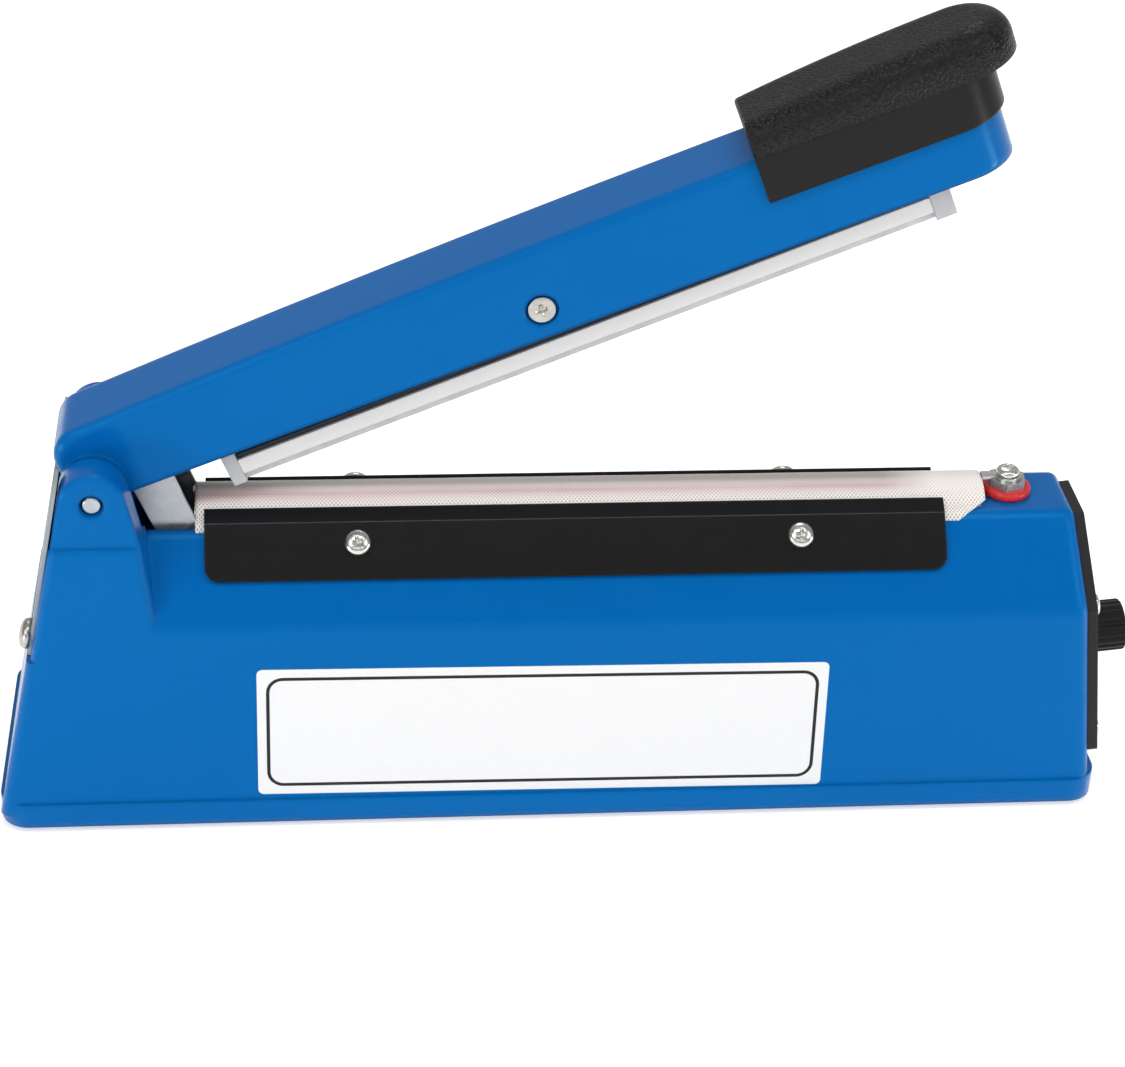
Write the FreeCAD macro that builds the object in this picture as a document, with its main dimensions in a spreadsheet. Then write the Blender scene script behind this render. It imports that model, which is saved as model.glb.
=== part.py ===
import FreeCAD, Part
import math
import os
import Sketcher

# A hand impulse sealer: a moulded base with a heated bed, and a sprung arm with a rocking pressure bar.
# The frame has X along the length, with the knob at +X, Y to the back and Z up.
# The origin lies on the standing plane under the middle of the base.

Vector = FreeCAD.Vector
doc = FreeCAD.newDocument("impulse_sealer")
sheet = doc.addObject("Spreadsheet::Sheet", "Dims")
AXIS_X = Vector(1, 0, 0)
AXIS_Y = Vector(0, 1, 0)
AXIS_Z = Vector(0, 0, 1)


class Size:
    """A number together with the sheet formula that drives it."""

    def __init__(self, value, formula):
        self.value = float(value)
        self.formula = formula

    def __add__(self, other):
        return joined(self, "+", other)

    def __radd__(self, other):
        return joined(other, "+", self)

    def __sub__(self, other):
        return joined(self, "-", other)

    def __rsub__(self, other):
        return joined(other, "-", self)

    def __mul__(self, other):
        return joined(self, "*", other)

    def __rmul__(self, other):
        return joined(other, "*", self)

    def __truediv__(self, other):
        return joined(self, "/", other)

    def __neg__(self):
        return joined(0, "-", self)


def as_size(item):
    """Give a plain number the form of a size."""
    return item if isinstance(item, Size) else Size(item, repr(float(item)))


def joined(left, sign, right):
    """Join two sizes by an arithmetic sign, in value and in formula."""
    first = as_size(left)
    second = as_size(right)
    if sign == "+":
        value = first.value + second.value
    elif sign == "-":
        value = first.value - second.value
    elif sign == "*":
        value = first.value * second.value
    else:
        value = first.value / second.value
    return Size(value, "(%s %s %s)" % (first.formula, sign, second.formula))


def sine(angle):
    """Sine of an angle in degrees."""
    return Size(math.sin(math.radians(angle.value)), "sin(%s)" % angle.formula)


def cosine(angle):
    """Cosine of an angle in degrees."""
    return Size(math.cos(math.radians(angle.value)), "cos(%s)" % angle.formula)


def tangent(angle):
    """Tangent of an angle in degrees."""
    return Size(math.tan(math.radians(angle.value)), "tan(%s)" % angle.formula)


def slope_angle(rise, run):
    """Angle in degrees whose tangent is rise over run."""
    ratio = as_size(rise) / run
    return Size(math.degrees(math.atan(ratio.value)), "(atan(%s) / 1 deg)" % ratio.formula)


def driving(name, value):
    """Put one driving dimension in the sheet and return it as a size."""
    driving.row += 1
    sheet.set("A%d" % driving.row, name)
    sheet.set("B%d" % driving.row, repr(value))
    sheet.setAlias("B%d" % driving.row, name)
    return Size(value, "Dims.%s" % name)


driving.row = 0

# Housing
base_length = driving("base_length", 310.0)
base_width = driving("base_width", 72.4)
rim_height = driving("rim_height", 7.5)
rim_step = driving("rim_step", 0.9)
rim_corner = driving("rim_corner", 8.0)
shoulder_width = driving("shoulder_width", 60.8)
shoulder_height = driving("shoulder_height", 60.4)
ridge_width = driving("ridge_width", 22.0)
ridge_height = driving("ridge_height", 82.2)
knob_lean = driving("knob_lean", 5.92)
hinge_lean = driving("hinge_lean", 11.5)
panel_end_inset = driving("panel_end_inset", 2.4)
wall = driving("wall", 2.5)
shoulder_round = driving("shoulder_round", 5.0)
ridge_round = driving("ridge_round", 3.5)
corner_round = driving("corner_round", 3.0)
stand_height = driving("stand_height", 2.0)
seat_gap = driving("seat_gap", 0.3)
# Hinge
pin_setback = driving("pin_setback", 29.5)
pin_height = driving("pin_height", 97.4)
pin_radius = driving("pin_radius", 2.9)
pin_fit = driving("pin_fit", 0.03)
ear_radius = driving("ear_radius", 9.1)
ear_outer_width = driving("ear_outer_width", 54.0)
ear_gap_width = driving("ear_gap_width", 32.0)
pedestal_height = driving("pedestal_height", 84.6)
pedestal_front = driving("pedestal_front", 42.0)
pedestal_slope = driving("pedestal_slope", 0.14)
front_lean = driving("front_lean", 13.0)
# Rear cover and control panel
rear_step_height = driving("rear_step_height", 51.0)
rear_lean = driving("rear_lean", 10.8)
rear_setback = driving("rear_setback", 10.9)
cover_thickness = driving("cover_thickness", 1.0)
cover_corner = driving("cover_corner", 4.0)
cover_height = driving("cover_height", 53.0)
panel_low = driving("panel_low", 14.0)
panel_high = driving("panel_high", 79.9)
panel_thickness = driving("panel_thickness", 3.0)
panel_top_width = driving("panel_top_width", 18.6)
knob_height = driving("knob_height", 35.0)
knob_radius = driving("knob_radius", 7.5)
knob_length = driving("knob_length", 14.0)
shaft_radius = driving("shaft_radius", 3.0)
lamp_height = driving("lamp_height", 58.0)
lamp_radius = driving("lamp_radius", 2.6)
cord_setback = driving("cord_setback", 40.0)
cord_height = driving("cord_height", 33.0)
cord_radius = driving("cord_radius", 3.2)
# Bed
bed_start = driving("bed_start", 55.5)
bed_length = driving("bed_length", 218.0)
bed_width = driving("bed_width", 17.0)
bed_side = driving("bed_side", 0.7)
bed_crown = driving("bed_crown", 4.4)
strip_thickness = driving("strip_thickness", 0.2)
strip_seat = driving("strip_seat", 0.1)
wire_width = driving("wire_width", 3.0)
wire_thickness = driving("wire_thickness", 0.2)
cloth_thickness = driving("cloth_thickness", 0.3)
plate_thickness = driving("plate_thickness", 1.2)
clamp_start = driving("clamp_start", 58.2)
clamp_length = driving("clamp_length", 204.2)
clamp_flap = driving("clamp_flap", 10.6)
clamp_corner = driving("clamp_corner", 4.0)
clamp_screw_down = driving("clamp_screw_down", 4.2)
clamp_head_height = driving("clamp_head_height", 2.8)
washer_thickness = driving("washer_thickness", 2.5)
nut_thickness = driving("nut_thickness", 2.4)
lug_thickness = driving("lug_thickness", 0.8)
lip_angle = driving("lip_angle", 31.5)
lip_inner = driving("lip_inner", 7.9)
lip_drop = driving("lip_drop", 2.1)
terminal_setback = driving("terminal_setback", 27.6)
washer_radius = driving("washer_radius", 6.9)
screw_depth = driving("screw_depth", 8.0)
# Arm, in a frame at the hinge pin with its X along the arm
open_angle = driving("open_angle", 21.7)
arm_width = driving("arm_width", 24.6)
arm_low = driving("arm_low", -7.2)
arm_low_tip = driving("arm_low_tip", -5.4)
arm_tip = driving("arm_tip", 258.6)
arm_rear = driving("arm_rear", 7.8)
arm_rear_top = driving("arm_rear_top", 14.8)
arm_tip_top = driving("arm_tip_top", 20.6)
arm_crown_radius = driving("arm_crown_radius", 5000.0)
arm_wall = driving("arm_wall", 2.2)
arm_ridge_round = driving("arm_ridge_round", 2.0)
bracket_width = driving("bracket_width", 20.0)
bracket_sheet = driving("bracket_sheet", 1.2)
bracket_top = driving("bracket_top", 9.0)
bracket_rear = driving("bracket_rear", -4.4)
bracket_front = driving("bracket_front", 34.0)
leg_start = driving("leg_start", 8.2)
leg_width = driving("leg_width", 11.0)
leg_length = driving("leg_length", 33.0)
spring_arm = driving("spring_arm", 6.0)
spring_rise = driving("spring_rise", 0.8)
anchor_radius = driving("anchor_radius", 1.2)
coil_radius = driving("coil_radius", 2.4)
spring_wire = driving("spring_wire", 0.4)
# Pressure bar, in a frame at its pivot screw
bar_pivot_along = driving("bar_pivot_along", 128.6)
bar_pivot_up = driving("bar_pivot_up", 1.6)
bar_tilt = driving("bar_tilt", 0.96)
bar_drop = driving("bar_drop", 19.0)
bar_left = driving("bar_left", 96.5)
bar_right = driving("bar_right", 110.5)
bar_width = driving("bar_width", 14.0)
bar_height = driving("bar_height", 4.45)
carrier_width = driving("carrier_width", 12.0)
carrier_sheet = driving("carrier_sheet", 1.2)
left_cap = driving("left_cap", 3.8)
right_cap = driving("right_cap", 5.6)
cap_rise = driving("cap_rise", 2.4)
silicone_height = driving("silicone_height", 2.5)
pivot_head = driving("pivot_head", 4.2)
pivot_sink = driving("pivot_sink", 1.3)
# Handle
handle_start = driving("handle_start", 194.0)
saddle_width = driving("saddle_width", 27.8)
saddle_low = driving("saddle_low", 9.0)
handle_parting = driving("handle_parting", 22.0)
saddle_ceiling = driving("saddle_ceiling", 20.9)
grip_width = driving("grip_width", 29.0)
grip_tip = driving("grip_tip", 267.0)
grip_rear_height = driving("grip_rear_height", 7.8)
grip_tip_height = driving("grip_tip_height", 11.4)
grip_crown_radius = driving("grip_crown_radius", 600.0)
grip_round = driving("grip_round", 7.2)
grip_rear_round = driving("grip_rear_round", 1.2)
# Inside
floor_thickness = driving("floor_thickness", 1.2)
core_length = driving("core_length", 54.0)
core_height = driving("core_height", 45.0)
core_stack = driving("core_stack", 22.0)
core_x = driving("core_x", 0.0)
board_length = driving("board_length", 56.0)
board_width = driving("board_width", 44.0)
switch_shelf = driving("switch_shelf", 44.0)
switch_height = driving("switch_height", 16.0)
button_radius = driving("button_radius", 2.5)
button_travel = driving("button_travel", 4.7)
button_gap = driving("button_gap", 0.6)
foot_radius = driving("foot_radius", 6.5)
foot_setback = driving("foot_setback", 36.0)
foot_spread = driving("foot_spread", 44.0)
screw_radius = driving("screw_radius", 1.9)
screw_head = driving("screw_head", 3.6)
screw_head_height = driving("screw_head_height", 2.2)
doc.recompute()

# Derived places, with z counted from the underside of the housing unless said otherwise
half_length = base_length / 2
front_half = base_width / 2 - rim_step
shoulder_half = shoulder_width / 2
ridge_half = ridge_width / 2
pin_x = pin_setback - half_length
pin_z = pin_height + stand_height
wall_run = (front_half - shoulder_half) / (shoulder_height - rim_height)
wall_lean = slope_angle(front_half - shoulder_half, shoulder_height - rim_height)


def wall_half(height):
    """Half width of the lower side wall at a height."""
    return front_half - (height - rim_height) * wall_run


def knob_end(height):
    """X of the outer face at the knob end at a height."""
    return half_length - panel_end_inset - (height - rim_height) * tangent(knob_lean)


def hinge_end(height):
    """X of the outer face at the hinge end at a height."""
    return rim_step - half_length + (height - rim_height) * tangent(hinge_lean)


def cover_face(height):
    """X of the face that carries the rear cover at a height."""
    return rear_setback - half_length + (height - rear_step_height) * tangent(rear_lean)


def bind(thing, prop, size):
    """Drive a property by the formula of a size."""
    thing.setExpression(prop, as_size(size).formula)


def place(thing, x=0, y=0, z=0, axis=None, angle=0):
    """Bind the place of a sub-part, with a turn about an axis where one is given."""
    if axis is not None:
        turn = FreeCAD.Rotation(axis, as_size(angle).value)
        thing.Placement = FreeCAD.Placement(Vector(0, 0, 0), turn)
        bind(thing, "Placement.Rotation.Angle", angle)
    bind(thing, "Placement.Base.x", x)
    bind(thing, "Placement.Base.y", y)
    bind(thing, "Placement.Base.z", z)
    return thing


def on_base(thing):
    """Stand a sub-part of the base at the height of the feet."""
    return place(thing, 0, 0, stand_height)


def on_arm(thing):
    """Put a sub-part of the arm at the hinge pin, turned open."""
    return place(thing, pin_x, 0, pin_z, -AXIS_Y, open_angle)


def new_body(label):
    """Start a body under its own label."""
    body = doc.addObject("PartDesign::Body", label)
    body.Label = label
    return body


def new_sketch(body, plane, offset=0):
    """Start a sketch on an origin plane of its body, moved along the plane's normal."""
    sketch = body.newObject("Sketcher::SketchObject", "%s_%s" % (body.Name, plane.lower()))
    support = [item for item in body.Origin.OriginFeatures if item.Role == plane + "_Plane"]
    sketch.AttachmentSupport = [(support[0], "")]
    sketch.MapMode = "FlatFace"
    bind(sketch, "AttachmentOffset.Base.z", offset)
    return sketch


def hold(sketch, kind, item, position, size):
    """Add one driven constraint to a sketch."""
    if position is None:
        index = sketch.addConstraint(Sketcher.Constraint(kind, item, size.value))
    else:
        index = sketch.addConstraint(Sketcher.Constraint(kind, item, position, size.value))
    bind(sketch, "Constraints[%d]" % index, size)


def arc_between(start, end, radius):
    """Arc from start to end, centred on the left of the way for a positive radius."""
    chord = end - start
    side = Vector(-chord.y, chord.x, 0)
    side.normalize()
    depth = math.sqrt(radius ** 2 - chord.Length ** 2 / 4)
    centre = (start + end) / 2 + side * math.copysign(depth, radius)
    first = start if radius > 0 else end
    last = end if radius > 0 else start
    from_angle = math.atan2(first.y - centre.y, first.x - centre.x)
    to_angle = math.atan2(last.y - centre.y, last.x - centre.x)
    circle = Part.Circle(centre, AXIS_Z, abs(radius))
    return Part.ArcOfCircle(circle, from_angle, to_angle)


def add_loop(sketch, corners):
    """Draw a closed loop; a third entry in a corner is the radius of the arc that leaves it."""
    first = sketch.GeometryCount
    count = len(corners)
    ends = []
    for step, corner in enumerate(corners):
        after = corners[(step + 1) % count]
        start = Vector(as_size(corner[0]).value, as_size(corner[1]).value, 0)
        end = Vector(as_size(after[0]).value, as_size(after[1]).value, 0)
        if len(corner) == 3:
            radius = as_size(corner[2])
            item = sketch.addGeometry(arc_between(start, end, radius.value), False)
            hold(sketch, "Radius", item, None, radius if radius.value > 0 else -radius)
            ends.append((1, 2) if radius.value > 0 else (2, 1))
        else:
            sketch.addGeometry(Part.LineSegment(start, end), False)
            ends.append((1, 2))
    for step in range(count):
        after = (step + 1) % count
        meet = Sketcher.Constraint("Coincident", first + step, ends[step][1], first + after, ends[after][0])
        sketch.addConstraint(meet)
    for step, corner in enumerate(corners):
        hold(sketch, "DistanceX", first + step, ends[step][0], as_size(corner[0]))
        hold(sketch, "DistanceY", first + step, ends[step][0], as_size(corner[1]))
    return sketch


def add_box(sketch, left, low, right, high):
    """Draw a rectangle in a sketch."""
    return add_loop(sketch, [(left, low), (right, low), (right, high), (left, high)])


def add_round_box(sketch, half_x, half_y, radius):
    """Draw a rectangle with rounded corners about the sketch's origin."""
    in_x = half_x - radius
    in_y = half_y - radius
    return add_loop(sketch, [(in_x, -half_y, radius), (half_x, -in_y),
                             (half_x, in_y, radius), (in_x, half_y),
                             (-in_x, half_y, radius), (-half_x, in_y),
                             (-half_x, -in_y, radius), (-in_x, -half_y)])


def add_ring(sketch, x, y, radius):
    """Draw a full circle in a sketch."""
    centre = Vector(as_size(x).value, as_size(y).value, 0)
    item = sketch.addGeometry(Part.Circle(centre, AXIS_Z, as_size(radius).value), False)
    hold(sketch, "DistanceX", item, 3, as_size(x))
    hold(sketch, "DistanceY", item, 3, as_size(y))
    hold(sketch, "Radius", item, None, as_size(radius))
    return sketch


def extrude(kind, body, sketch, length, symmetric, reverse):
    """Add a pad or a pocket to a body."""
    feature = body.newObject("PartDesign::" + kind, kind.lower())
    feature.Profile = sketch
    feature.SideType = "Symmetric" if symmetric else "One side"
    feature.Reversed = reverse
    bind(feature, "Length", length)
    sketch.Visibility = False
    return feature


def pad(body, sketch, length, symmetric=False, reverse=False):
    """Add material along the normal of a sketch."""
    return extrude("Pad", body, sketch, length, symmetric, reverse)


def pocket(body, sketch, length, symmetric=True, reverse=False):
    """Take material away along a sketch's normal, to both sides unless said otherwise."""
    return extrude("Pocket", body, sketch, length, symmetric, reverse)


def middle(edge):
    """Point half way along an edge."""
    return edge.valueAt((edge.FirstParameter + edge.LastParameter) / 2)


def along(edge, axis):
    """Whether an edge runs straight along an axis."""
    if len(edge.Vertexes) < 2:
        return False
    way = edge.Vertexes[1].Point - edge.Vertexes[0].Point
    return way.Length > 0 and abs(way.normalize().dot(axis)) > 0.9999


def round_edges(body, pick, radius):
    """Round the picked edges of a body's last feature."""
    doc.recompute()
    base = body.Tip
    names = ["Edge%d" % (step + 1) for step, edge in enumerate(base.Shape.Edges) if pick(edge)]
    feature = body.newObject("PartDesign::Fillet", "rounding")
    feature.Base = (base, names)
    bind(feature, "Radius", radius)
    doc.recompute()
    return feature


def rod(name, radius, length, x=0, y=0, z=0, axis=None, angle=0):
    """A plain cylinder along its own Z."""
    item = doc.addObject("Part::Cylinder", name)
    bind(item, "Radius", radius)
    bind(item, "Height", length)
    return place(item, x, y, z, axis, angle)


def block(name, length, width, height, x, y, z):
    """A plain box by its least corner."""
    item = doc.addObject("Part::Box", name)
    bind(item, "Length", length)
    bind(item, "Width", width)
    bind(item, "Height", height)
    return place(item, x, y, z)


def fused(name, items):
    """Fuse several solids into one."""
    item = doc.addObject("Part::MultiFuse", name)
    item.Shapes = items
    item.Refine = True
    return item


def cut(name, base, tools):
    """Take tools away from a base solid."""
    item = doc.addObject("Part::Cut", name)
    item.Base = base
    item.Tool = tools[0] if len(tools) == 1 else fused(name + "_tools", tools)
    item.Refine = True
    return item


def group(label, items):
    """Several separate solids under one label."""
    item = doc.addObject("Part::Compound", label)
    item.Label = label
    item.Links = items
    return item


def screw(name, radius, length, head_radius, head_height, x=0, y=0, z=0, axis=None, angle=0):
    """A screw seated at its origin, head along +Z and shank along -Z, with a soft domed head."""
    body = new_body(name)
    profile = new_sketch(body, "XZ")
    flat = head_radius * 0.55
    rise = head_height * 0.55
    add_loop(profile, [(0, -length), (radius, -length), (radius, 0), (head_radius, 0), (head_radius, rise),
                       (flat, head_height), (0, head_height)])
    turned = body.newObject("PartDesign::Revolution", "turned")
    turned.Profile = profile
    turned.ReferenceAxis = (profile, ["V_Axis"])
    turned.Angle = 360
    profile.Visibility = False
    return place(body, x, y, z, axis, angle)


def hex_nut(name, across_flats, thickness, bore):
    """A hexagon nut with its bore along Z and its underside at the origin."""
    body = new_body(name)
    sketch = new_sketch(body, "XY")
    corner_distance = across_flats / (2 * math.cos(math.pi / 6))
    corners = []
    for step in range(6):
        turn = math.pi * step / 3
        corners.append((corner_distance * math.cos(turn), corner_distance * math.sin(turn)))
    add_loop(sketch, corners)
    add_ring(sketch, 0, 0, bore)
    pad(body, sketch, thickness)
    return body


# Housing: its outer form
form = new_body("housing_form")
profile = new_sketch(form, "YZ")
low_start = rim_height / 2
right_side = [(wall_half(low_start), low_start), (shoulder_half, shoulder_height),
              (ridge_half, ridge_height)]
left_side = [(-y, z) for y, z in reversed(right_side)]
add_loop(profile, right_side + left_side)
pad(form, profile, base_length + 20, symmetric=True)

head_room = pin_height + 40
far_out = half_length + 20
trim = new_sketch(form, "XZ")
add_loop(trim, [(knob_end(0), 0), (far_out, 0), (far_out, head_room), (knob_end(head_room), head_room)])
pocket(form, trim, base_width * 2)
trim = new_sketch(form, "XZ")
add_loop(trim, [(hinge_end(0), 0), (hinge_end(head_room), head_room), (-far_out, head_room), (-far_out, 0)])
pocket(form, trim, base_width * 2)


def is_shoulder(edge):
    """True for the edges where the side wall meets the slope."""
    spot = middle(edge)
    return along(edge, AXIS_X) and abs(spot.z - shoulder_height.value) < 0.1


def is_ridge(edge):
    """True for the edges where the slope meets the flat top."""
    spot = middle(edge)
    return along(edge, AXIS_X) and abs(spot.z - ridge_height.value) < 0.1


def is_end_edge(edge):
    """True for the edges round the two leaning end faces."""
    spot = middle(edge)
    off_knob = abs(spot.x - knob_end(Size(spot.z, "0")).value)
    off_hinge = abs(spot.x - hinge_end(Size(spot.z, "0")).value)
    above_foot = spot.z > low_start.value + 0.5
    return min(off_knob, off_hinge) < 0.3 and above_foot and not along(edge, AXIS_X)


round_edges(form, is_shoulder, shoulder_round)
round_edges(form, is_ridge, ridge_round)
round_edges(form, is_end_edge, corner_round)

# Rim at the foot of the housing
rim = new_sketch(form, "XY")
add_round_box(rim, half_length, base_width / 2, rim_corner)
pad(form, rim, rim_height)
rear_recess = new_sketch(form, "XZ")
recess_depth = 2 * corner_round
add_loop(rear_recess, [(-far_out, rear_step_height),
                       (cover_face(rear_step_height) + recess_depth, rear_step_height),
                       (cover_face(head_room) + recess_depth, head_room), (-far_out, head_room)])
pocket(form, rear_recess, base_width * 2)

# Pedestal that carries the hinge ears, its sides in the planes of the side walls
pedestal = new_body("housing_pedestal")
pedestal_low = rear_step_height - 10
pedestal_right = pedestal_front - half_length
pedestal_reach = (pedestal_height - pedestal_low) * pedestal_slope
side = new_sketch(pedestal, "XZ")
add_loop(side, [(cover_face(pedestal_low) + 2, pedestal_low),
                (pedestal_right + pedestal_reach, pedestal_low),
                (pedestal_right, pedestal_height), (cover_face(pedestal_height), pedestal_height),
                (cover_face(rear_step_height), rear_step_height)])
pad(pedestal, side, base_width, symmetric=True)
cheek = new_sketch(pedestal, "YZ")
cheek_low = pedestal_low - 5
for sign in (1, -1):
    add_loop(cheek, [(sign * wall_half(cheek_low), cheek_low), (sign * base_width, cheek_low),
                     (sign * base_width, head_room), (sign * wall_half(head_room), head_room)])
pocket(pedestal, cheek, base_length * 2)


def is_upright(edge):
    """Whether an edge stands nearly upright."""
    return abs(edge.tangentAt(edge.FirstParameter).z) > 0.9


def is_pedestal_front(edge):
    """True for the upright edges at the pedestal's front."""
    return is_upright(edge) and abs(middle(edge).x - (pedestal_right + pedestal_reach / 2).value) < 1


def is_pedestal_rear(edge):
    """True for the upright edges at the pedestal's rear."""
    spot = middle(edge)
    return is_upright(edge) and abs(spot.x - cover_face(Size(spot.z, "0")).value) < 1.5


def is_pedestal_top(edge):
    """True for the outer edges of the pedestal's top."""
    spot = middle(edge)
    return abs(spot.z - pedestal_height.value) < 0.01 and abs(spot.y) > ear_outer_width.value / 2


round_edges(pedestal, is_pedestal_front, corner_round)
round_edges(pedestal, is_pedestal_rear, corner_round * 0.8)
pedestal_top_round = 1.0
round_edges(pedestal, is_pedestal_top, pedestal_top_round)

# Ears, each a round eye on flanks that run down to the pedestal
ears = new_sketch(pedestal, "XZ")
ear_low = pedestal_height - 4
ear_rise = pin_height - ear_low
ear_front = pin_x + (ear_radius + ear_rise * sine(front_lean)) / cosine(front_lean)
ear_back = pin_x - (ear_radius + ear_rise * sine(rear_lean)) / cosine(rear_lean)
add_loop(ears, [(ear_back, ear_low), (ear_front, ear_low),
                (pin_x + ear_radius * cosine(front_lean), pin_height + ear_radius * sine(front_lean),
                 ear_radius),
                (pin_x - ear_radius * cosine(rear_lean), pin_height + ear_radius * sine(rear_lean))])
pad(pedestal, ears, ear_outer_width, symmetric=True)


def is_ear_rim(edge):
    """True for the outer edges of the ears."""
    spot = middle(edge)
    return abs(abs(spot.y) - ear_outer_width.value / 2) < 0.01 and spot.z > pedestal_height.value + 1


ear_round = 0.8
round_edges(pedestal, is_ear_rim, ear_round)
between = new_sketch(pedestal, "XZ")
add_box(between, -far_out, ridge_height + seat_gap, pedestal_right + 4, head_room)
pocket(pedestal, between, ear_gap_width)

# Housing: its hollow
hollow = new_body("housing_hollow")
roof = ridge_height - wall
end_wall = wall + 0.5
well_right = pin_x - 2.5
side = new_sketch(hollow, "XZ")
add_loop(side, [(hinge_end(rim_height) + end_wall, -2), (knob_end(rim_height) - end_wall, -2),
                (knob_end(rim_height) - end_wall, rim_height), (knob_end(roof) - end_wall, roof),
                (well_right, roof), (well_right, rear_step_height - end_wall),
                (hinge_end(rear_step_height - end_wall) + end_wall, rear_step_height - end_wall),
                (hinge_end(rim_height) + end_wall, rim_height)])
pad(hollow, side, base_width * 2, symmetric=True)
skin = new_sketch(hollow, "YZ")
shoulder_inner = shoulder_height - wall * 0.5
for sign in (1, -1):
    foot_y = sign * (front_half - wall)
    outer_y = sign * base_width * 2
    ridge_y = sign * (ridge_half - wall * 0.5)
    add_loop(skin, [(foot_y, -3), (outer_y, -3), (outer_y, ridge_height), (ridge_y, ridge_height),
                    (ridge_y, roof), (sign * (shoulder_half - wall), shoulder_inner), (foot_y, rim_height)])
pocket(hollow, skin, base_length * 2)
boss_x = half_length - 17
boss_y = wall_half(as_size(20)) - wall - 3
boss_radius = screw_radius + 2.4
bosses = new_sketch(hollow, "XY", floor_thickness)
for x_sign in (1, -1):
    for y_sign in (1, -1):
        add_ring(bosses, x_sign * boss_x, y_sign * boss_y, boss_radius)
boss_height = 38
boss_hole_depth = 16
boss_screw_length = 12
pocket(hollow, bosses, boss_height, symmetric=False, reverse=True)
shelf_left = pin_x + 6
shelf_length = 36
shelf = new_sketch(hollow, "XZ")
add_box(shelf, shelf_left, switch_shelf - wall, shelf_left + shelf_length, switch_shelf)
pocket(hollow, shelf, base_width * 2)
well_left = cover_face(rear_step_height) - 6
well_half = 9.5
well = new_sketch(hollow, "XZ")
add_box(well, well_left, rear_step_height - 3 + 0.5 * wall, well_right + 1, ridge_height + 2)
pad(hollow, well, 2 * well_half, symmetric=True)
slot_left = pin_x + 4.5
slot_right = bed_start + 2.9 - half_length
slot_half = bracket_width / 2 + 1.9
slot = new_sketch(hollow, "XZ")
add_box(slot, slot_left, roof - 8, slot_right, ridge_height + 2)
pad(hollow, slot, 2 * slot_half, symmetric=True)
knob_window = new_sketch(hollow, "YZ", half_length - 30)
window_half = 16
window_low = knob_height - 15
window_high = lamp_height + 5
add_box(knob_window, -window_half, window_low, window_half, window_high)
pad(hollow, knob_window, 40)

# Screw holes and bores in the housing
hole_gap = 0.1
turn_gap = 0.05
hole_radius = screw_radius + hole_gap
holes = []
holes.append(rod("hinge_bore", pin_radius + pin_fit, base_width, pin_x, base_width / 2, pin_height,
                 AXIS_X, 90))
recess_radius = pin_radius + 0.45
recess_length = 2.2
pin_recess = 1.2
for start in (ear_outer_width / 2 + recess_length - pin_recess, pin_recess - ear_outer_width / 2):
    holes.append(rod("pin_recess", recess_radius, recess_length, pin_x, start, pin_height, AXIS_X, 90))
anchor_z = rear_step_height + 2
anchor_x = pin_x - spring_arm * cosine(open_angle) - spring_rise * sine(open_angle)
anchor_half = well_half + 3.5
holes.append(rod("anchor_bore", anchor_radius + pin_fit, 2 * anchor_half + 1, anchor_x, anchor_half + 0.5,
                 anchor_z, AXIS_X, 90))
for x_sign in (1, -1):
    for y_sign in (1, -1):
        holes.append(rod("boss_hole", hole_radius, boss_hole_depth, x_sign * boss_x, y_sign * boss_y, 0))
flap_angle = slope_angle(ridge_height - shoulder_height, shoulder_half - ridge_half)
clamp_screw_shares = (0.203, 0.8)
clamp_screw_x = [clamp_start + clamp_length * share - half_length for share in clamp_screw_shares]
clamp_screw_y = ridge_half + clamp_screw_down
clamp_screw_z = ridge_height - clamp_screw_down * tangent(flap_angle)
for x in clamp_screw_x:
    for sign in (1, -1):
        y = sign * (clamp_screw_y - sine(flap_angle) * screw_depth)
        z = clamp_screw_z - cosine(flap_angle) * screw_depth
        holes.append(rod("clamp_hole", hole_radius, screw_depth + 1, x, y, z, Vector(-sign, 0, 0),
                         flap_angle))
terminal_x = half_length - terminal_setback
left_terminal_x = bed_start + 9 - half_length
holes.append(rod("terminal_hole", hole_radius, 20, terminal_x, 0, ridge_height - 10))
holes.append(rod("left_terminal_hole", hole_radius, 3, left_terminal_x, 0, roof - 0.5))
cover_screw_y = -23.5
cover_screw_up = 4.9
cover_screw_x = cover_face(rear_step_height) + cover_screw_up * sine(rear_lean)
cover_screw_z = rear_step_height + cover_screw_up * cosine(rear_lean)
cover_screw_length = 10
holes.append(rod("cover_hole", hole_radius, cover_screw_length + 2, cover_screw_x, cover_screw_y,
                 cover_screw_z, AXIS_Y, 90 + rear_lean))
low_screw = (26.0, 5.0)
high_screw = (22.5, 44.0)
panel_screw_spots = []
for y, up in (low_screw, high_screw):
    panel_screw_spots.append((y, up))
    panel_screw_spots.append((-y, up))
panel_x = knob_end(panel_low)
panel_hole_depth = 10
for y, up in panel_screw_spots:
    x = panel_x - up * sine(knob_lean) - panel_hole_depth * cosine(knob_lean)
    z = panel_low + up * cosine(knob_lean) - panel_hole_depth * sine(knob_lean)
    holes.append(rod("panel_hole", hole_radius, panel_hole_depth + 2, x, y, z, AXIS_Y, 90 - knob_lean))
cord_x = cord_setback - half_length
grommet_neck = cord_radius + 1.4
cord_reach = 6
cord_start_y = wall_half(cord_height) + cord_reach * cosine(wall_lean)
cord_start_z = cord_height + cord_reach * sine(wall_lean)
holes.append(rod("cord_hole", grommet_neck + hole_gap, 2 * cord_reach + 2, cord_x, cord_start_y,
                 cord_start_z, AXIS_X, 90 + wall_lean))
base_housing = cut("base_housing", fused("housing_outside", [form, pedestal]), [hollow] + holes)
on_base(base_housing)

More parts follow.
